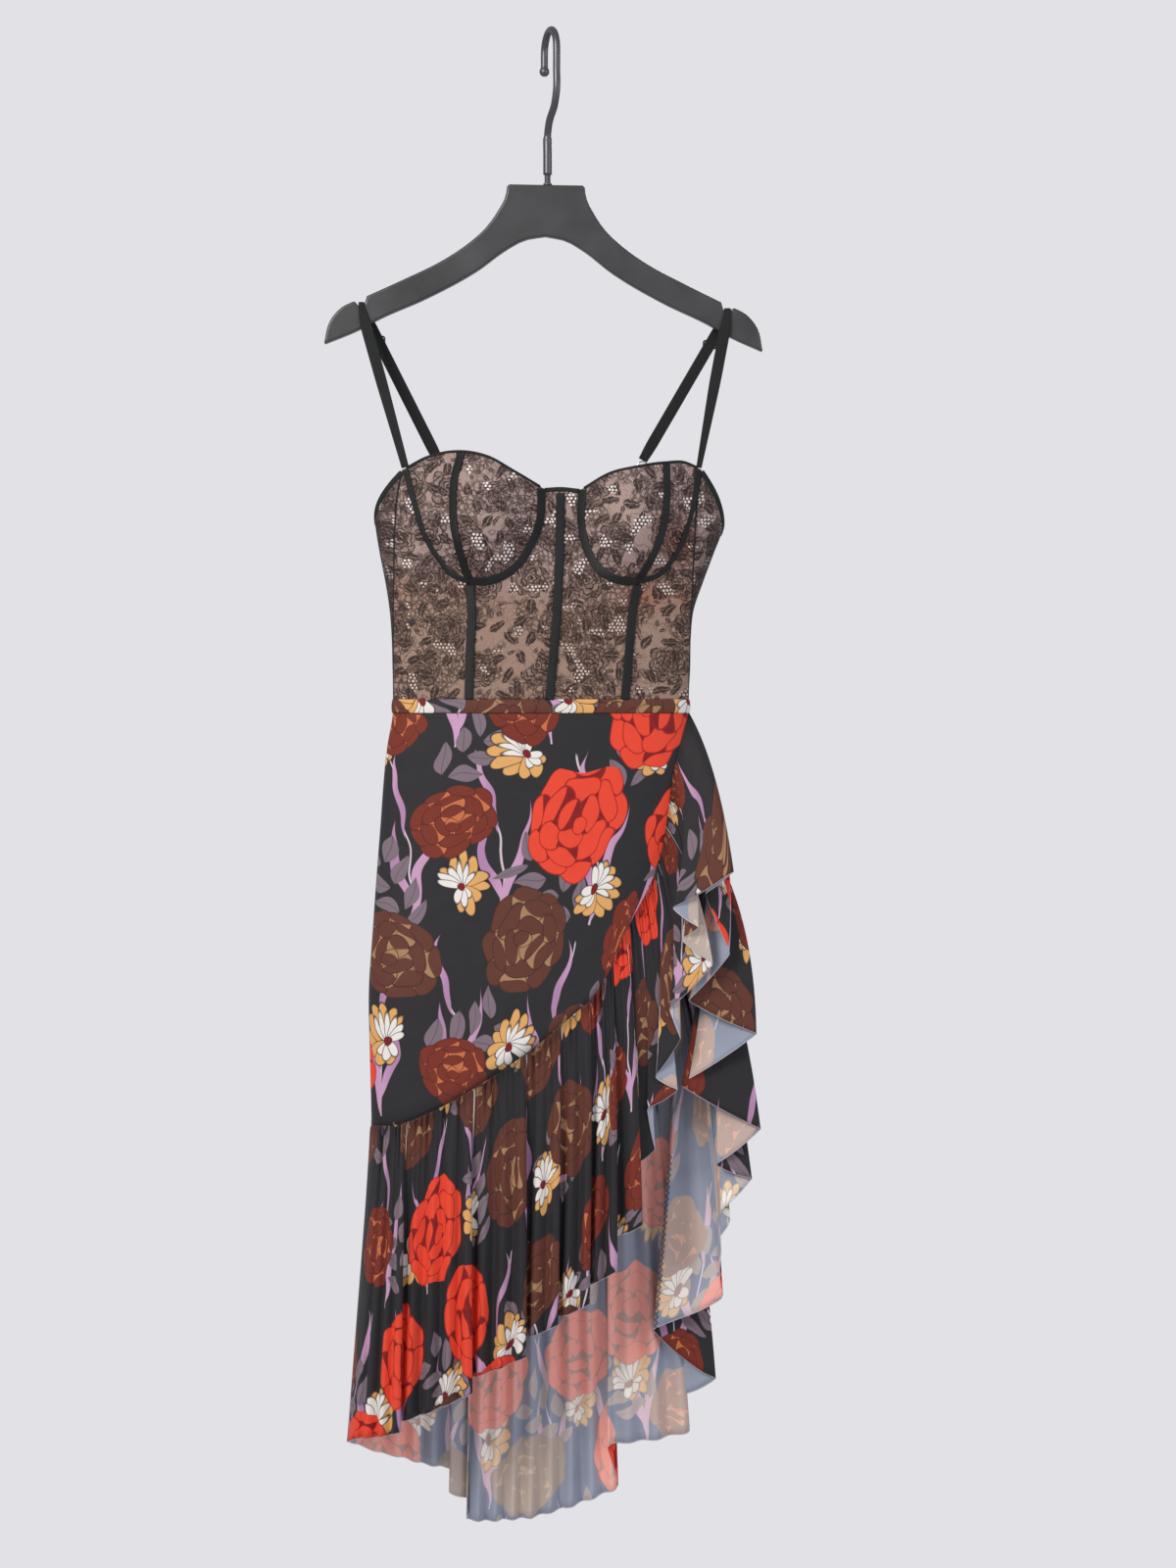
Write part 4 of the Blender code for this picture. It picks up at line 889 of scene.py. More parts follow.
hook = {
    "wire": 3.75, "inside": 17.0, "turn": math.radians(18), "foot": 559.0,
    # a sleeve round the wire's first stretch, and a ball at its end with the wire's last stub inside it
    "sleeve": 4.5, "sleeveLong": 38, "ball": 5.2, "ballIn": 4.6, "stub": 0.3,
}


def hookShape():
    # wire that rises from the hanger, cranks forwards and turns over as a half circle with a ball at its end
    ring = hook["inside"] + hook["wire"]
    centre = bearing["down"] + hook["inside"]
    plan = np.array([math.sin(hook["turn"]), -math.cos(hook["turn"])])
    foot = hook["foot"] - bearing["across"]
    rows = [(foot, 0, 181), (foot, 0, 160), (foot, 0, 142), (-1, -6, 128), (4, -15, 114)]
    rows += [(*(plan * ring), down) for down in (98, 78)]
    rows += [(*(plan * ring * math.cos(angle)), centre - ring * math.sin(angle))
             for angle in np.radians(np.arange(0, 181, 12))]
    rows += [(*(-plan * ring), centre + extra) for extra in (7, 14, 22)]
    path = through(rows, 150)
    path = np.stack([path[:, 0], path[:, 1], bearing["down"] - path[:, 2]], axis=1) / 1000
    length = runLength(path) * 1000
    fromEnd = length[-1] - length
    radius = np.full(len(path), hook["wire"])
    radius = np.where(length < hook["sleeveLong"], hook["sleeve"], radius)
    ball = np.sqrt(np.clip(1 - ((fromEnd - hook["ballIn"]) / hook["ball"]) ** 2, 0, 1)) * hook["ball"]
    radius = np.maximum(np.where(fromEnd < hook["ballIn"], hook["stub"], radius), ball)
    ahead = heading(path)
    across = np.array([math.cos(hook["turn"]), math.sin(hook["turn"]), 0.0])
    side = unit(np.cross(ahead, across))
    out = np.cross(side, ahead)
    piece = carried("hookShape", path, out, side, radius, radius, around=24)
    finishPiece(piece, [hookFinish], "hanger_hook")


def ferruleShape():
    # the screw between wire and hanger
    path = spot(hook["foot"], 0, np.linspace(191.8, 180.8, 24))
    wave = 0.25 * np.sin(np.linspace(0, 10 * np.pi, 24))
    ways = [np.tile(way, (24, 1)) for way in ([1.0, 0, 0], [0, 1.0, 0])]
    radius = np.where(np.arange(24) < 4, 4.6, 3.1 + wave)
    piece = carried("ferruleShape", path, *ways, radius, radius, around=20)
    finishPiece(piece, [hookFinish], "hanger_ferrule")


hangerShape()
hookShape()
ferruleShape()
print("stage: hanger ready")


strap = {
    "left": dict(foot=(415.5, 479.4), notch=(370.1, 312.4), ring=(448.5, 479), tab=(478, 546.8),
                 footWide=7.5, overWide=5.4),
    "right": dict(foot=(712, 479.6), notch=(741.6, 318.6), ring=(656, 475.5), tab=(622, 548.6),
                  footWide=5.5, overWide=6.5),
    "wide": 11.5, "thick": 1.4, "ringRadius": 5.6, "ringWire": 0.9, "ringDepth": 23.0,
    # over the notch: clearance, how far it sinks and the radius it turns by; at the ring: its end's width
    "clear": 0.4, "sink": 1.45, "corner": 3.6, "endWide": 9.0, "ringGap": 6.6, "tabGap": 6.2, "stiff": 5.0,
}
rearward = [0.0, 1.0, 0.0]


def ribbonAlong(name, path, facing, thick, wide, around):
    # a flat band along a path, turned towards the facing
    ahead = heading(path)
    facing = squared(facing, ahead)
    return carried(name, path, facing, np.cross(ahead, facing), thick / 2, wide / 2, strap["stiff"], around)


def strapShape(side):
    # elastic from the cup over the notch and down the back to its ring
    own = strap[side]
    foot, notch, ring = own["foot"], own["notch"], own["ring"]
    corner, ringDepth, wide = strap["corner"], strap["ringDepth"], strap["wide"]
    reach = hanger["thick"] / 2 + strap["clear"] + strap["thick"] / 2
    footDepth = float(frontDepth(np.array(foot[0]), np.array(foot[1] + 5.0)))
    top = notch[1] - strap["sink"]
    # rows of across, depth, down, facing and width
    rows = [(toward(foot[0], notch[0], part), toward(footDepth, -reach, part**0.8),
             toward(foot[1], notch[1] + 6, part), 0, -1, 0,
             toward(own["footWide"], wide, min(1, part * 1.8))) for part in np.linspace(0, 0.93, 12)]
    for angle in np.radians(np.arange(0, 181, 15)):
        shift = (reach - corner) * (0 if abs(angle - math.pi / 2) < 0.1 else np.sign(angle - math.pi / 2))
        rows.append((notch[0], shift - math.cos(angle) * corner, top + corner - corner * math.sin(angle),
                     0, -math.cos(angle), math.sin(angle), own["overWide"]))
    rows += [(toward(notch[0], ring[0], part), toward(reach, ringDepth, part),
              toward(notch[1] + 4, ring[1] - strap["ringGap"], part), 0, 1, 0,
              wide if part < 0.94 else strap["endWide"]) for part in np.linspace(0.08, 1, 12)]
    rows = np.array(rows)
    path = spot(rows[:, 0], rows[:, 1], rows[:, 2])
    length = runLength(path)
    fine = np.linspace(0, length[-1], 180)
    path, facing = between(fine, length, path), between(fine, length, rows[:, 3:6])
    wide = np.convolve(np.pad(np.interp(fine, length, rows[:, 6]), 4, mode="edge"), np.ones(9) / 9, "valid")
    piece = ribbonAlong(f"strap{side.title()}", path, facing, strap["thick"], wide, 28)
    finishPiece(piece, [elastic], f"strap_{side}")


def ringShape(side):
    # a wire torus
    own = strap[side]["ring"]
    angle = 2 * np.pi * np.arange(48) / 48
    out = np.stack([np.cos(angle), np.zeros(48), -np.sin(angle)], axis=1)
    radius = strap["ringRadius"]
    path = spot(own[0] + radius * np.cos(angle), strap["ringDepth"], own[1] + radius * np.sin(angle))
    depth, wire = np.tile(rearward, (48, 1)), strap["ringWire"]
    piece = carried(f"ring{side.title()}", path, out, depth, wire, wire, around=12, closed=True)
    finishPiece(piece, [ringFinish], f"strap_ring_{side}")


def tabShape(side):
    # the short elastic that holds the ring on the back's edge
    ring, foot = strap[side]["ring"], strap[side]["tab"]
    endDepth = float(backDepth(np.array(float(foot[0])), np.array(foot[1])))
    part = np.linspace(0, 1, 30)
    path = spot(toward(ring[0], foot[0], part), toward(strap["ringDepth"], endDepth, part),
                toward(ring[1] + strap["tabGap"], foot[1] - 1.6, part))
    facing, wide = np.tile(rearward, (30, 1)), np.where(part < 0.12, 6.0, 9.0)
    piece = ribbonAlong(f"ringTab{side.title()}", path, facing, strap["thick"], wide, 24)
    finishPiece(piece, [elastic], f"ring_tab_{side}")


def sliderShape(side):
    # a flat figure-of-eight slider: a rounded frame with a middle bar
    notch, ring, part = strap[side]["notch"], strap[side]["ring"], 0.2
    reach = hanger["thick"] / 2 + strap["thick"] + 1.1
    middle = (toward(notch[0], ring[0], part), toward(reach, strap["ringDepth"], part) + 1.5,
              toward(notch[1] + 4, ring[1] - 8, part))
    angle = 2 * np.pi * np.arange(56) / 56
    across, down = (np.sign(way) * np.abs(way) ** 0.45 * half
                    for way, half in ((np.cos(angle), 6.6), (np.sin(angle), 4.2)))
    path = spot(middle[0] + across, middle[1], middle[2] + down)
    ahead = unit(np.roll(path, -1, axis=0) - np.roll(path, 1, axis=0))
    depth = np.tile(rearward, (56, 1))
    rim = carried(f"slider{side.title()}", path, depth, np.cross(ahead, depth), 0.9, 0.9, around=12,
                  closed=True)
    path = spot(middle[0] + np.linspace(-6.4, 6.4, 8), middle[1], middle[2])
    depth, upward = (np.tile(way, (8, 1)) for way in (rearward, [0.0, 0.0, 1.0]))
    bar = carried(f"sliderBar{side.title()}", path, depth, upward, 0.8, 1.1, around=10)
    finishPiece(rim, [sliderFinish], f"strap_slider_{side}")
    finishPiece(bar, [sliderFinish])


for drawnSide in ("left", "right"):
    strapShape(drawnSide)
    ringShape(drawnSide)
    tabShape(drawnSide)
    sliderShape(drawnSide)
print("stage: straps ready")

# bodice seams, each from its top or its left end
seams = {
    "neck": {
        "left": [(416, 480.5), (440, 469), (474.5, 465.5), (499, 471), (525, 485), (552.5, 500.5)],
        "right": [(595.5, 502), (624, 487), (646, 482), (677.7, 476), (696, 474.5), (711, 480)],
    },
    "gore": {"left": (556.5, 502.4), "middle": (572.6, 501.5), "right": (591.5, 503.4)},
    "outerWire": {
        "left": [(416, 480.5), (425.5, 516), (436.6, 549), (451.4, 573), (464.4, 588), (481, 594.5)],
        "right": [(711, 480), (706.5, 512), (698, 543), (686, 570), (670, 588), (650, 594)],
    },
    "innerWire": {
        "left": [(552.5, 500.5), (551, 533), (542, 558), (527, 580), (505, 592.5), (481, 594.5)],
        "right": [(595.5, 502), (594.5, 538), (600, 563), (612, 583), (629, 592.5), (650, 594)],
    },
    "cup": {
        "left": [(474.5, 465.5), (468, 489), (466, 514), (467, 540), (472, 564), (481, 594.5)],
        "right": [(677.7, 476), (678, 498), (677.5, 520), (674, 543), (666, 566), (650, 594)],
    },
    "lower": {
        "left": [(481, 594.5), (483, 625), (481.5, 662), (480, waistDown)],
        "right": [(650, 594), (644.5, 625), (641.5, 662), (637, waistDown)],
    },
    "centre": [(572.6, 501.5), (571.7, 551), (570.5, 590), (568.5, 630), (565, 672), (561, waistDown)],
    "side": {
        "left": [(412.4, 482), (408, 507), (405, 540), (403.8, 580), (402.8, 625), (402.3, 665),
                 (402.4, waistDown)],
        "right": [(715, 482), (711.5, 502), (708.5, 528), (706.8, 560), (705.6, 595), (703.6, 640),
                  (701.6, waistDown)],
    },
    # the back's top edge: degrees round from the left side, and down
    "back": [(-38, 479), (-20, 505), (0, 529), (25, 541), (60, 548), (90, 551), (120, 550), (155, 545),
             (178, 541), (190, 529), (204, 500), (214, 478)],
}
bodice = {"laceThick": 1.2, "cupThick": 2.0, "tapeLift": 1.9, "tapeThick": 1.3, "fine": 5, "sideTurn": 0.012}

# drag lines and creases: start, end, half width in mm and height in mm
creases = {
    "side_front_right": [((706, 537), (684, 574), 2.0, 1.3), ((706, 541), (690, 592), 2.2, 1.2),
                         ((705, 548), (696, 612), 2.2, 1.0), ((700, 600), (668, 700), 3.0, 0.7),
                         ((690, 610), (655, 680), 3.0, 0.5)],
    "cup_outer_right": [((708, 505), (690, 545), 2.0, 0.9), ((704, 522), (684, 560), 2.0, 0.8)],
    "cup_outer_left": [((436, 478), (446, 558), 1.8, 0.9), ((446, 474), (452, 560), 1.8, 0.9),
                       ((456, 470), (459, 566), 1.7, 0.7)],
    "side_front_left": [((412, 560), (440, 640), 3.0, 0.5), ((410, 640), (450, 700), 3.0, 0.5)],
}


def creaseRise(flat, lines):
    # each line lifts the cloth as a bell across it that fades towards both ends
    rise = np.zeros(flat.shape[:-1])
    for start, end, half, high in lines:
        start, way = np.array(start, float), np.array(end, float) - np.array(start, float)
        length = np.linalg.norm(way)
        way = way / length
        part = ((flat - start) @ way) / length
        off = (flat - start) @ np.array([-way[1], way[0]])
        fade = np.clip(1 - (2 * part - 1) ** 4, 0, 1)
        rise += high * np.exp(-((off / half) ** 2)) * fade
    return rise


def seamLines(side):
    fine = bodice["fine"]
    steps = {"outerWire": 15, "innerWire": 17, "cup": 9, "lower": 8, "side": 23}
    lines = {name: through(seams[name][side], count * fine + 1) for name, count in steps.items()}
    lines["centre"] = through(seams["centre"], 8 * fine + 1)
    return lines


# how dense the lace is and how far the warm lining shows: across, down, reach, amount
laceTone = {
    "dense": [(495, 570, 32, 0.35), (440, 650, 45, 0.4), (612, 650, 40, 0.4), (520, 650, 34, -0.7),
              (680, 650, 34, -0.75), (640, 500, 26, -0.3), (425, 700, 40, 0.2), (450, 520, 24, 0.2),
              (690, 510, 20, 0.2)],
    "warmthAndSideShade": [(692, 556, 22, 0.75), (655, 606, 20, 0.6), (412, 600, 16, 0.25), (700, 610, 14, 0.3),
             (470, 604, 14, 0.3)],
}


def laceDensity(flat):
    # bells round each spot, added up
    layers = []
    for key, start in (("dense", 0.5), ("warmthAndSideShade", 0.0)):
        value = np.full(flat.shape[:-1], start)
        for across, down, reach, amount in laceTone[key]:
            away = (flat[..., 0] - across) ** 2 + (flat[..., 1] - down) ** 2
            value += amount * np.exp(-away / reach**2)
        layers.append(np.clip(value, 0, 1))
    return np.stack(layers, axis=-1)


def frontPanel(name, flat, thick, node, offset):
    # a piece of the front: flat points on the tube, lifted along its normals by the creases
    grid, normals = onFront(flat)
    rise = creaseRise(flat, creases.get(node, []))
    grid = grid + normals * rise[..., None] / 1000
    uv = flat * [0.001, -0.001] + np.array([offset, 0])
    clothPiece(name, grid, thick, [lace, laceInside], node, normals, uv, laceDensity(flat))


def bodiceFront(side):
    # the four pieces of one side, each a patch between its left, right, top and bottom edges
    fine, isLeft = bodice["fine"], side == "left"
    lines = seamLines(side)
    outer, inner, seam = lines["outerWire"], lines["innerWire"], lines["cup"]
    corner = 9 * fine
    neck = seams["neck"][side]
    necks = (neck[:3], neck[2:]) if isLeft else (neck[3:], neck[:4])
    outerTop, innerTop = (through(points, len(wire) - corner)[::1 if isLeft else -1]
                          for points, wire in zip(necks, (outer, inner)))
    gore = through([seams["gore"][side], seams["gore"]["middle"]], 2 * fine + 1)
    top = np.concatenate([inner[::-1], gore])
    waist = through([lines["lower"][-1], lines["centre"][-1]], len(top))
    innerEdge = np.concatenate([outer, lines["lower"][1:]])
    sideTop, sideWaist = (through([lines["side"][end], innerEdge[end]], 6 * fine + 1) for end in (0, -1))
    # as they lie on the left; on the right they are mirrored
    edges = {
        "cup_outer": (outer[:corner + 1], seam, outerTop, outer[corner:]),
        "cup_inner": (seam, inner[:corner + 1], innerTop, inner[corner:][::-1]),
        "centre_front": (lines["lower"], lines["centre"], top, waist),
        "side_front": (lines["side"], innerEdge, sideTop, sideWaist),
    }
    for number, (part, (first, last, upper, lower)) in enumerate(edges.items()):
        flat = patch(first, last, upper, lower) if isLeft else patch(last, first, upper[::-1], lower[::-1])
        words = part.split("_")
        name = words[0] + words[1].title() + side.title()
        thick = bodice["cupThick" if words[0] == "cup" else "laceThick"]
        frontPanel(name, flat, thick, f"{part}_{side}", 0.21 * number + (0.0 if isLeft else 0.35))


def sideTurn(side, down):
    # the turn round the tube at which the back meets a side front
    seam = np.array(seams["side"][side])
    middle, half, _, _ = tubeAt(down)
    across = eased(np.clip(down, seam[0, 1], seam[-1, 1]), seam[:, 1], seam[:, 0])
    out = np.clip(np.abs((across - middle) / half), 0, 1) ** (tube["power"] / 2)
    turn = bodice["sideTurn"] - np.arccos(out)
    return turn if side == "left" else math.pi - turn


def bodiceBack():
    # rows from the back's top edge to the waist, each from side seam to side seam
    columns, rows = 181, 60
    share = np.linspace(0, 1, columns)
    share = share - 0.72 * np.sin(2 * math.pi * share) / (2 * math.pi)
    table = np.array(seams["back"], float)
    top = np.full(columns, 500.0)
    for _ in range(14):
        left, right = sideTurn("left", top), sideTurn("right", top)
        top = eased(np.degrees(left + share * (right - left)), table[:, 0], table[:, 1])
    down = top + np.linspace(0, 1, rows)[:, None] * (waistDown - 0.2 - top)
    left, right = sideTurn("left", down), sideTurn("right", down)
    grid, normals = roundTube(left + share * (right - left), down)
    uv = np.stack([clothUv(grid)[..., 0] + 2, -down / 1000], axis=-1)
    # the second value, highest at the sides where the back turns edge-on, is painted shade for the unlined lace
    edge = np.stack([np.full(down.shape, 0.75), 0.9 * np.exp(-((grid[..., 1] * 1000 / 20) ** 2))], axis=-1)
    clothPiece("backPanel", grid, bodice["laceThick"], [laceBack, laceInside], "bodice_back", normals,
               uv, edge)
    return grid, normals


def alongFront(name, path, lift, halfOut, halfSide, power, around):
    # a section carried along the front surface, lifted off it
    points, normals = onFront(path)
    side = unit(np.cross(heading(points), normals))
    return carried(name, points + normals * lift / 1000, normals, side, halfOut, halfSide, power, around)


def tapeOnFront(name, path, wide, node):
    # a tape with a softly rounded section that follows the front surface
    path = resampled(path, max(40, int(runLength(path)[-1] / 1.6)))
    piece = alongFront(name, path, bodice["tapeLift"], bodice["tapeThick"] / 2, wide / 2, 3.2, 24)
    finishPiece(piece, [satin], node)


def tapes():
    # seam, node, how much shorter it is at its start and its end, and its width
    rows = (("outerWire", "wire_channel_outer", 2.0, -3.0, 6.0),
            ("innerWire", "wire_channel_inner", 2.0, 0.0, 9.0),
            ("cup", "cup_channel", 1.5, 3.0, 9.0), ("lower", "lower_channel", 4.0, 0.3, 9.0))
    for side in ("left", "right"):
        for seam, node, start, end, wide in rows:
            path = resampled(through(seams[seam][side], 120), 120, start, end)
            tapeOnFront(f"{seam}Tape{side.title()}", path, wide, f"{node}_{side}")
    tapeOnFront("centreTape", through(seams["centre"], 120)[3:], 9.0, "centre_channel")


def seamCords():
    # the dark overlocked seam between each side front and the back
    for side in ("left", "right"):
        path = resampled(through(seams["side"][side], 120), 110, 2.0, 1.0)
        piece = alongFront(f"sideSeam{side.title()}", path, 0.3, 0.75, 1.0, 2.0, 12)
        finishPiece(piece, [bindingTape])


def edgeBinding(name, rows, normals, thick, deep, node):
    # a folded tape: a rounded section that holds the cloth's edge, from the edge row and a row below it
    edge, below = rows
    outwards = squared(squared(edge - below, normals), heading(edge))
    middle = edge - outwards * (deep / 2 - 0.9) / 1000
    piece = carried(name, middle, normals, outwards, thick / 2 + 0.75, deep / 2 + 0.4, 3.0, 20)
    finishPiece(piece, [bindingTape], node)


def bindings(backGrid, backNormals):
    for side in ("left", "right"):
        neck = resampled(through(seams["neck"][side], 120), 110, 1.0, 1.0)
        grid, normals = onFront(np.stack([neck, neck + [0, 4]]))
        edgeBinding(f"neckBinding{side.title()}", grid, normals[0], bodice["cupThick"], 2.4,
                    f"neck_binding_{side}")
    gore = seams["gore"]
    line = through([gore["left"], gore["middle"], gore["right"]], 30)
    grid, normals = onFront(np.stack([line, line + [0, 5]]))
    edgeBinding("goreBinding", grid, normals[0], bodice["laceThick"], 4.0, "gore_binding")
    columns = backGrid.shape[1]
    stretches = (("armholeBindingLeft", 0, 0.34, 5.2, "armhole_binding_left"),
                 ("backBinding", 0.335, 0.665, 4.6, "back_binding"),
                 ("armholeBindingRight", 0.66, 1, 5.2, "armhole_binding_right"))
    for name, first, last, deep, node in stretches:
        span = slice(int(first * (columns - 1)), int(last * (columns - 1)) + 1)
        rows = np.stack([backGrid[0, span], backGrid[2, span]])
        edgeBinding(name, rows, backNormals[0, span], bodice["laceThick"], deep, node)


for drawnSide in ("left", "right"):
    bodiceFront(drawnSide)
bindings(*bodiceBack())
seamCords()
tapes()
print("stage: bodice ready")

# skirt
skirt = {
    # the left edge ends at the hem; its columns crowd towards the sides by the bunching
    "thick": 1.0, "rows": 90, "columns": 130, "frontCorner": 8, "backCorner": 5, "hem": 1147, "bunching": 0.7,
    "frontSeam": [
        (378.6, 1147), (402, 1145), (440, 1131), (500, 1096), (550, 1061), (580, 1036), (613, 1004),
        (632, 962), (646, 932), (663, 900), (676, 860), (682, 820), (688, 779), (695, 752), (702.4, 727),
    ],
    "backSeam": [
        (702.4, 727), (703.3, 790), (703, 860), (700, 950), (695, 1020), (684, 1065), (660, 1101),
        (600, 1150), (540, 1177), (490, 1187), (430, 1177), (378.6, 1149),
    ],
}


def softRipple(across, down):
    # faint hanging folds: a few slow waves across that shift with height
    return 0.5 * np.sin(across / 17 + down / 120) + 0.35 * np.sin(across / 31 - down / 90 + 1.3)


band = {
    "columns": 220, "rows": 12, "thick": 1.6, "proud": 0.7, "bulge": 0.8, "gathers": 60, "gatherDeep": 0.25,
}


def waistBand():
    # a band round the tube, bulged between its edges and finely gathered
    columns, rows = band["columns"], band["rows"]
    share = np.arange(columns) / columns
    turn = 2 * math.pi * (share + 0.5 * np.sin(4 * math.pi * share) / (4 * math.pi))
    down = np.linspace(waistDown - 0.3, skirtTop + 0.4, rows)
    rings = [roundTube(turn, np.full(columns, height)) for height in down]
    grid, normals = (np.stack(part) for part in zip(*rings))
    swell = np.sin(np.linspace(0, math.pi, rows))[:, None]
    bulge = band["bulge"] * swell + band["gatherDeep"] * np.sin(turn * band["gathers"]) * swell
    grid = grid + normals * (band["proud"] + bulge)[..., None] / 1000
    uv = clothUv(np.concatenate([grid, grid[:, :1]], axis=1)) + [0.06, 0.02]
    clothPiece("waistBand", grid, band["thick"], [cloth, clothBack], "waist_band", normals[0], uv,
               np.full(uv.shape, 1.0), looped=True)


def skirtPanel(name, seam, corner, surface, node, offset):
    # a patch between the waist, the left side and the slanted seam, whose corner is its lower right one
    rows, columns = skirt["rows"], skirt["columns"]
    curve = through(seam, 600)
    if seam[0][1] < seam[-1][1]:
        curve = curve[::-1]
    nearest = int(np.argmin(np.linalg.norm(curve - np.array(seam[corner]), axis=1)))
    right, bottom = through(curve[nearest:][::-1][::6], rows), through(curve[:nearest + 1][::6], columns)
    height = np.linspace(skirtTop, skirt["hem"], rows)
    middle, half, _, _ = tubeAt(height)
    left = np.stack([middle - half, height], axis=1)
    left[-1], right[-1] = bottom[0], bottom[-1]
    share = np.linspace(0, 1, columns)
    drawn = share - skirt["bunching"] * np.sin(2 * math.pi * share) / (2 * math.pi)
    top, bottom = (between(drawn, share, edge) for edge in (np.linspace(left[0], right[0], columns), bottom))
    flat = patch(left, right, top, bottom)
    flat[0, :, 1] = skirtTop - 0.5
    grid, normals = surface(flat)
    fade = np.sin(np.pi * share) ** 0.5 * np.linspace(0.1, 1, rows)[:, None]
    grid = grid + normals * (softRipple(flat[..., 0], flat[..., 1]) * fade)[..., None] / 1000
    uv = np.stack([clothUv(grid)[..., 0], -flat[..., 1] / 1000], axis=-1) + np.array(offset)
    # distance up from the slanted seam; the painted seam shadow falls where it is small
    seamward = np.broadcast_to(np.linspace(0.4, 0, rows)[:, None], flat.shape[:2])
    edge = np.stack([np.full(flat.shape[:2], 1.0), seamward], axis=-1)
    clothPiece(name, grid, skirt["thick"], [cloth, clothBack], node, normals, uv, edge)


waistBand()
skirtPanel("skirtFront", skirt["frontSeam"], skirt["frontCorner"], onFront, "skirt_front", (0.0, 0.02))
skirtPanel("skirtBack", skirt["backSeam"], skirt["backCorner"], onBack, "skirt_back", (0.7, 0.11))
print("stage: skirt ready")

# ruffle: a row for each fold, with where it starts along the seam, its hem point, its puff and its flutes
ruffle = {
    "thick": 0.8, "rows": 62, "rounding": 2.6, "clear": 0.21, "sag": 2.2, "gather": 2.8,
    "hang": {"front": 2.3, "side": 2.3, "back": 3.2},
    # the hem is drawn as this eye sees it: across, down and how far in front; a hem point's depth moves it
    # to where it has to be for that
    "eye": (600, 800, 3300),
    "front": [
        # seam, across, depth, down, puff, flutes, flute depth
        (0, 353, 0.15, 1475, 0, 0, 0), (5, 354, -14, 1474, 0, 0, 0), (12, 362, -34, 1471, 0, 0, 0),
        (36, 407, -52, 1464, 0, 3, 6), (38, 401, -40, 1456, 0, 0, 0), (112, 481, -54, 1424, 0, 4, 7),
        (115, 474, -40, 1410, 0, 0, 0), (178, 537, -54, 1386, 2, 3, 7), (181, 530, -40, 1368, 2, 0, 0),
        (222, 570, -53, 1353, 3, 2, 6), (225, 564, -41, 1347, 3, 0, 0), (262, 602, -52, 1332, 4, 2, 6),
        (265, 595, -40, 1314, 4, 0, 0), (303, 630, -50, 1298, 5, 2, 6), (307, 624, -38, 1264, 5, 0, 0),
        (342, 656.5, -46, 1251, 6, 1, 4), (348, 650, -33, 1188, 6, 0, 0), (362, 668.5, -31, 1175, 6, 0, 0),
        (374, 660.5, -35, 1131, 8, 0, 0), (388, 693, -39, 1112, 10, 0, 0), (402, 668, -43, 1099, 12, 0, 0),
        (418, 695, -47, 1060, 14, 0, 0), (436, 683, -51, 1029, 16, 0, 0), (456, 729, -55, 982, 18, 0, 0),
        (474, 694, -59, 957, 20, 0, 0), (486, 714, -62, 945, 21, 0, 0), (505, 685.5, -66, 925, 22, 0, 0),
        (540, 744, -63, 891, 16, 0, 0), (566, 748.5, -60, 888.5, 16, 0, 0), (600, 748.5, -54.0, 888, 16, 0, 0),
    ],
    "side": [
        (0, 748.5, -54.0, 888, 16, 0, 0), (4, 748.5, -48.2, 888.5, 17, 0, 0), (10, 744, -46, 892, 18, 0, 0),
        (24, 719, -44, 911, 28, 0, 0), (50, 746, -42, 972, 38, 0, 0), (76, 702, -38, 1021, 36, 0, 0),
        (108, 773, -31, 1055, 45, 0, 0), (138, 693, -24, 1107, 30, 0, 0), (170, 777, -16, 1153, 30, 0, 0),
        (196, 730, -8, 1190, 24, 0, 0), (212, 768, -2, 1204, 24, 0, 0), (228, 736, 4, 1237, 20, 0, 0),
        (240, 747, 9, 1247, 20, 0, 0), (252, 734, 14, 1265, 16, 0, 0), (285, 738, 20, 1328, 16, 0, 0),
        (318, 669, 25, 1358.5, 6, 1, 4), (322, 667, 28, 1360.5, 6, 0, 0), (326.5, 667, 33.5, 1361, 6, 0, 0),
    ],
    "back": [
        (326.5, 667, 33.5, 1361, 6, 0, 0), (331, 667, 39, 1361.5, 7, 0, 0), (340, 705, 42, 1396, 10, 0, 0),
        (352, 732, 46, 1411, 20, 0, 0), (365, 697, 50, 1428, 12, 0, 0), (378, 705, 52, 1466, 10, 0, 0),
        (440, 621, 46, 1479, 4, 3, 6), (446, 631, 58, 1524, 3, 0, 0), (520, 545, 54, 1554, 0, 4, 7),
        (588, 473, 46, 1557, 0, 4, 7), (593, 478, 56, 1534, 0, 0, 0), (604, 458, 46, 1530, 0, 0, 0),
        (608, 463, 56, 1504, 0, 0, 0), (660, 408, 48, 1492, 0, 3, 6), (686, 362, 34, 1478, 0, 2, 5),
        (694, 354, 14, 1475, 0, 0, 0), (720, 353, -0.15, 1475, 0, 0, 0),
    ],
}


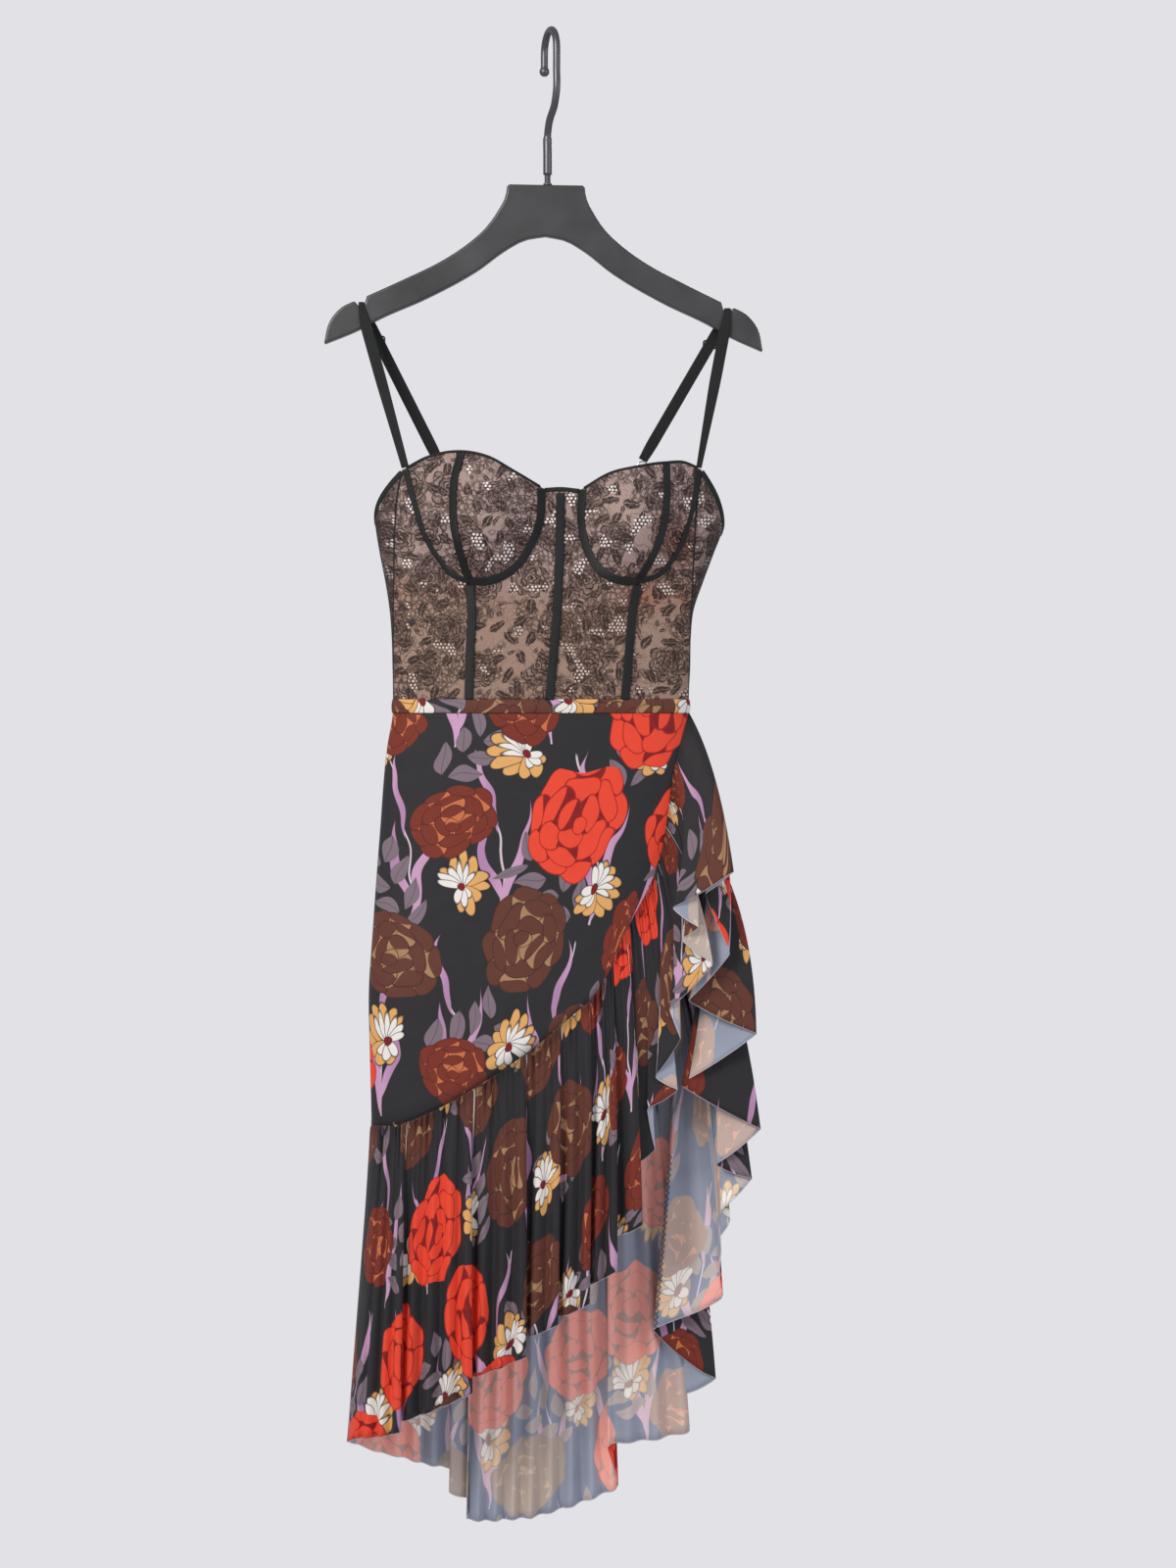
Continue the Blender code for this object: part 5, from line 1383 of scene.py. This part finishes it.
def evenedRows(table, step):
    # the fold rows as one fine path: rows joined, flutes added, folds rounded with a bell of weights
    table = np.array(table, float)
    parts = []
    for upper, lower in zip(table[:-1], table[1:]):
        share = np.linspace(0, 1, 60, endpoint=False)[:, None]
        line = upper[:5] + share * (lower[:5] - upper[:5])
        # each stretch between folds sags downwards a little
        span = np.linalg.norm(lower[1:4] - upper[1:4])
        line[:, 3:4] += np.sin(np.pi * share) * ruffle["sag"] * min(1, span / 40)
        parts.append(np.hstack([line, lower[6] * np.sin(2 * np.pi * lower[5] * share)]))
    parts.append(np.append(table[-1, :5], 0)[None])
    path = np.vstack(parts)
    length = runLength(path[:, 1:4])
    even = np.arange(0, length[-1], step)
    path = between(even, length, path)
    reach = int(4 * ruffle["rounding"] / step)
    weights = np.exp(-0.5 * (np.arange(-reach, reach + 1) * step / ruffle["rounding"]) ** 2)
    weights /= weights.sum()
    padded = np.vstack([2 * path[:1] - path[reach:0:-1], path, 2 * path[-1:] - path[-2:-reach - 2:-1]])
    return np.stack([np.convolve(padded[:, column], weights, "valid") for column in range(6)], axis=1)


def uneven(rng, run, count, shortest, longest):
    # slow waves of random height, length and start, added up
    waves = (rng.uniform(0.5, 1) * np.sin(run / rng.uniform(shortest, longest) + rng.uniform(0, 6))
             for _ in range(count))
    return sum(waves) / 2


def foldsOf(key, columns):
    # the fold rows at the picked columns, closer where the hem turns, and the way across their flutes
    fine = evenedRows(ruffle[key], 0.5)
    tangent = heading(fine[:, 1:3])
    sideways = np.stack([-tangent[:, 1], tangent[:, 0]], axis=1)
    hem = np.column_stack([fine[:, 1:3] + sideways * fine[:, 5:6], fine[:, 3]])
    ahead = heading(hem)
    turning = np.concatenate([[0], np.arccos(np.clip((ahead[1:] * ahead[:-1]).sum(axis=1), -1, 1))])
    effort = np.cumsum(np.concatenate([[0], np.linalg.norm(np.diff(hem, axis=0), axis=1)]) / 14 + turning)
    numbers = np.interp(np.linspace(0, effort[-1], columns), effort, np.arange(len(hem)))
    index = np.arange(len(fine))
    return between(numbers, index, fine), between(numbers, index, sideways)


def sewnAt(places, seam, surface):
    # where the ruffle leaves the tube, just beside the seam, in drawing millimetres
    curve = through(seam, 800)
    length = runLength(curve)
    places = np.clip(places, 0, length[-1])
    start, along = between(places, length, curve), between(places, length, heading(curve))
    out = np.stack([-along[:, 1], along[:, 0]], axis=1)
    if seam[0][1] < seam[-1][1]:
        out = -out
    points, normals = surface(start + out * ruffle["clear"])
    return points * [1000, 1000, -1000] + [bearing["across"], 0, bearing["down"]], normals


def rufflePiece(key, seam, surface, columns, seed, uvStart):
    # each column is a drooping arc from the seam to the hem; flutes grow down it and gathers fade down it
    picked, sideways = foldsOf(key, columns)
    low, tubeOut = sewnAt(picked[:, 0], seam, surface)
    eyeAcross, eyeDown, eyeFar = ruffle["eye"]
    nearer = 1 + picked[:, 2] / eyeFar
    high = np.column_stack([eyeAcross + (picked[:, 1] - eyeAcross) * nearer, picked[:, 2],
                            eyeDown + (picked[:, 3] - eyeDown) * nearer])
    puffed = low + (high - low) * [0.3, 0.7, 0.33] + picked[:, 4:5] * [1, 0, 0]
    part = (np.linspace(0, 1, ruffle["rows"]) ** 1.25)[:, None, None]
    grid = (1 - part) ** 2 * low + 2 * part * (1 - part) * puffed + part**2 * high
    share = part[:, :, 0]
    # gathers: uneven fine waves along the seam, strongest just below it
    rng = np.random.default_rng(seed)
    hemRun = runLength(np.column_stack([picked[:, 1:3] + sideways * picked[:, 5:6], picked[:, 3]]))
    waves, slow = uneven(rng, hemRun, 5, 1.4, 3.4), uneven(rng, hemRun, 4, 7, 16)
    pleat = (ruffle["gather"] * waves[None] * np.exp(-share / 0.2) * (1 - np.exp(-share / 0.01))
             + ruffle["hang"][key] * slow[None] * share**0.6 * (1 - 0.4 * share))
    number = np.arange(columns)
    quiet = np.minimum(1, np.minimum(number, number[::-1]) / 14)[None]
    move = share**0.75 * picked[:, 5] + pleat * quiet
    grid[..., :2] += move[..., None] * sideways
    points = spot(grid[..., 0], grid[..., 1], grid[..., 2])
    down = np.cumsum(np.linalg.norm(np.diff(points, axis=0, prepend=points[:1]), axis=2), axis=0)
    across = runLength(points[-1])
    uv = np.stack([np.broadcast_to(across + uvStart, down.shape), -down], axis=-1)
    # distances from the hem and from the sewn edge; the painted seam shadow falls near the sewn edge
    edge = np.stack([down[-1:] - down, down], axis=-1)
    clothPiece(f"ruffle{key.title()}", points, ruffle["thick"], [cloth, clothBack], f"ruffle_{key}",
               tubeOut, uv, edge)
    return uvStart + across[-1], points


def overlock(points):
    # zigzag thread over the side ruffle's sewn edge, down its lowest stretch
    stitches, thread = 60, 0.4
    edge = resampled(points[-26:, -10], stitches)
    swing = 2.2 * np.where(np.arange(stitches) % 2 == 0, 1, -1)[:, None] / 1000
    path = edge + np.array([[-0.9, -0.35, 0.0]]) * swing + [0.0, -0.0014, 0.0]
    path = between(np.linspace(0, stitches - 1, 4 * stitches - 3), np.arange(stitches), path)
    ahead = heading(path)
    out = squared(np.tile(rearward, (len(path), 1)), ahead)
    piece = carried("overlock", path, out, np.cross(ahead, out), thread, thread, around=6)
    finishPiece(piece, [bindingTape])


run, _ = rufflePiece("front", skirt["frontSeam"], onFront, 640, 3, 0.0)
run, sidePoints = rufflePiece("side", skirt["backSeam"], onBack, 400, 5, run)
rufflePiece("back", skirt["backSeam"], onBack, 560, 8, run)
overlock(sidePoints)
print("stage: ruffle ready")

# floor, light and camera
studio = {
    "floorDown": 2.7, "floorRadius": 1.9, "floor": "#dcd9df", "floorCloud": "#cfccd4", "backdrop": "#e2e1e6",
    "light": 0.58, "target": (0.0, 0.0, -0.8),
    # lamps: name, place, size, power, shade
    "lamps": [
        ("keyLight", (-1.9, -2.6, 0.9), 1.5, 84, "#fffaf5"),
        ("fillLight", (2.6, -2.2, -0.2), 2.0, 24, "#f5f6ff"),
        ("backLight", (0.6, 2.6, 0.6), 1.8, 30, "#ffffff"),
    ],
    # camera: distance from the hanger's plane, look down, the picture's middle and height there, and its sensor
    "distance": 3.3, "pitch": math.radians(1.5), "middle": (0.038, -0.761), "height": 1.6, "sensor": 36,
}
studioTint = tintsOf(studio)


def floorDisc():
    # a round pale floor below the hem
    sides, radius = 96, studio["floorRadius"]
    angle = 2 * np.pi * np.arange(sides) / sides
    level = np.full(sides, -studio["floorDown"])
    points = np.stack([np.cos(angle) * radius, np.sin(angle) * radius, level], axis=1)
    mesh = bpy.data.meshes.new("floor")
    mesh.from_pydata(points.tolist(), [], [list(range(sides))])
    material, tree, shader = newMaterial("floorPaint", {"Roughness": 0.9})
    cloudy = noise(tree, objectPlace(tree), 3.0)
    colour = mixed(tree, cloudy * 0.2, studioTint["floor"], studioTint["floorCloud"])
    plug(tree, colour, shader.inputs["Base Color"])
    mesh.materials.append(material)
    linked("floor", mesh)


def lamp(name, place, size, power, shade):
    # a round area light that faces the part's middle
    data = bpy.data.lights.new(name, "AREA")
    data.shape, data.size, data.energy = "DISK", size, power
    data.color = paint(shade)[:3]
    light = linked(name, data)
    light.location = place
    way = np.array(studio["target"]) - np.array(place)
    light.rotation_euler = (math.atan2(math.hypot(way[0], way[1]), -way[2]), 0, math.atan2(-way[0], way[1]))


def backdrop():
    # the camera sees it at full strength and the part is lit by less of it
    world = bpy.data.worlds.new("studio")
    bpy.context.scene.world = world
    world.use_nodes = True
    tree = world.node_tree
    shade = tree.nodes["Background"]
    shade.inputs["Color"].default_value = studioTint["backdrop"]
    seen = Flow(tree, tree.nodes.new("ShaderNodeLightPath").outputs["Is Camera Ray"])
    plug(tree, seen * (1 - studio["light"]) + studio["light"], shade.inputs["Strength"])


def setCamera():
    # in front of the hanger's plane, with a slight look down
    distance, pitch = studio["distance"], studio["pitch"]
    middleX, middleZ = studio["middle"]
    lens = bpy.data.cameras.new("camera")
    lens.sensor_width = studio["sensor"]
    lens.sensor_fit = "AUTO"
    lens.lens = studio["sensor"] * distance / studio["height"]
    camera = linked("camera", lens)
    camera.location = (middleX, -distance * math.cos(pitch), middleZ + distance * math.sin(pitch))
    camera.rotation_euler = (math.pi / 2 - pitch, 0, 0)
    bpy.context.scene.camera = camera


floorDisc()
for row in studio["lamps"]:
    lamp(*row)
backdrop()
setCamera()
bpy.context.scene.view_settings.view_transform = "Standard"
print("stage: studio ready")
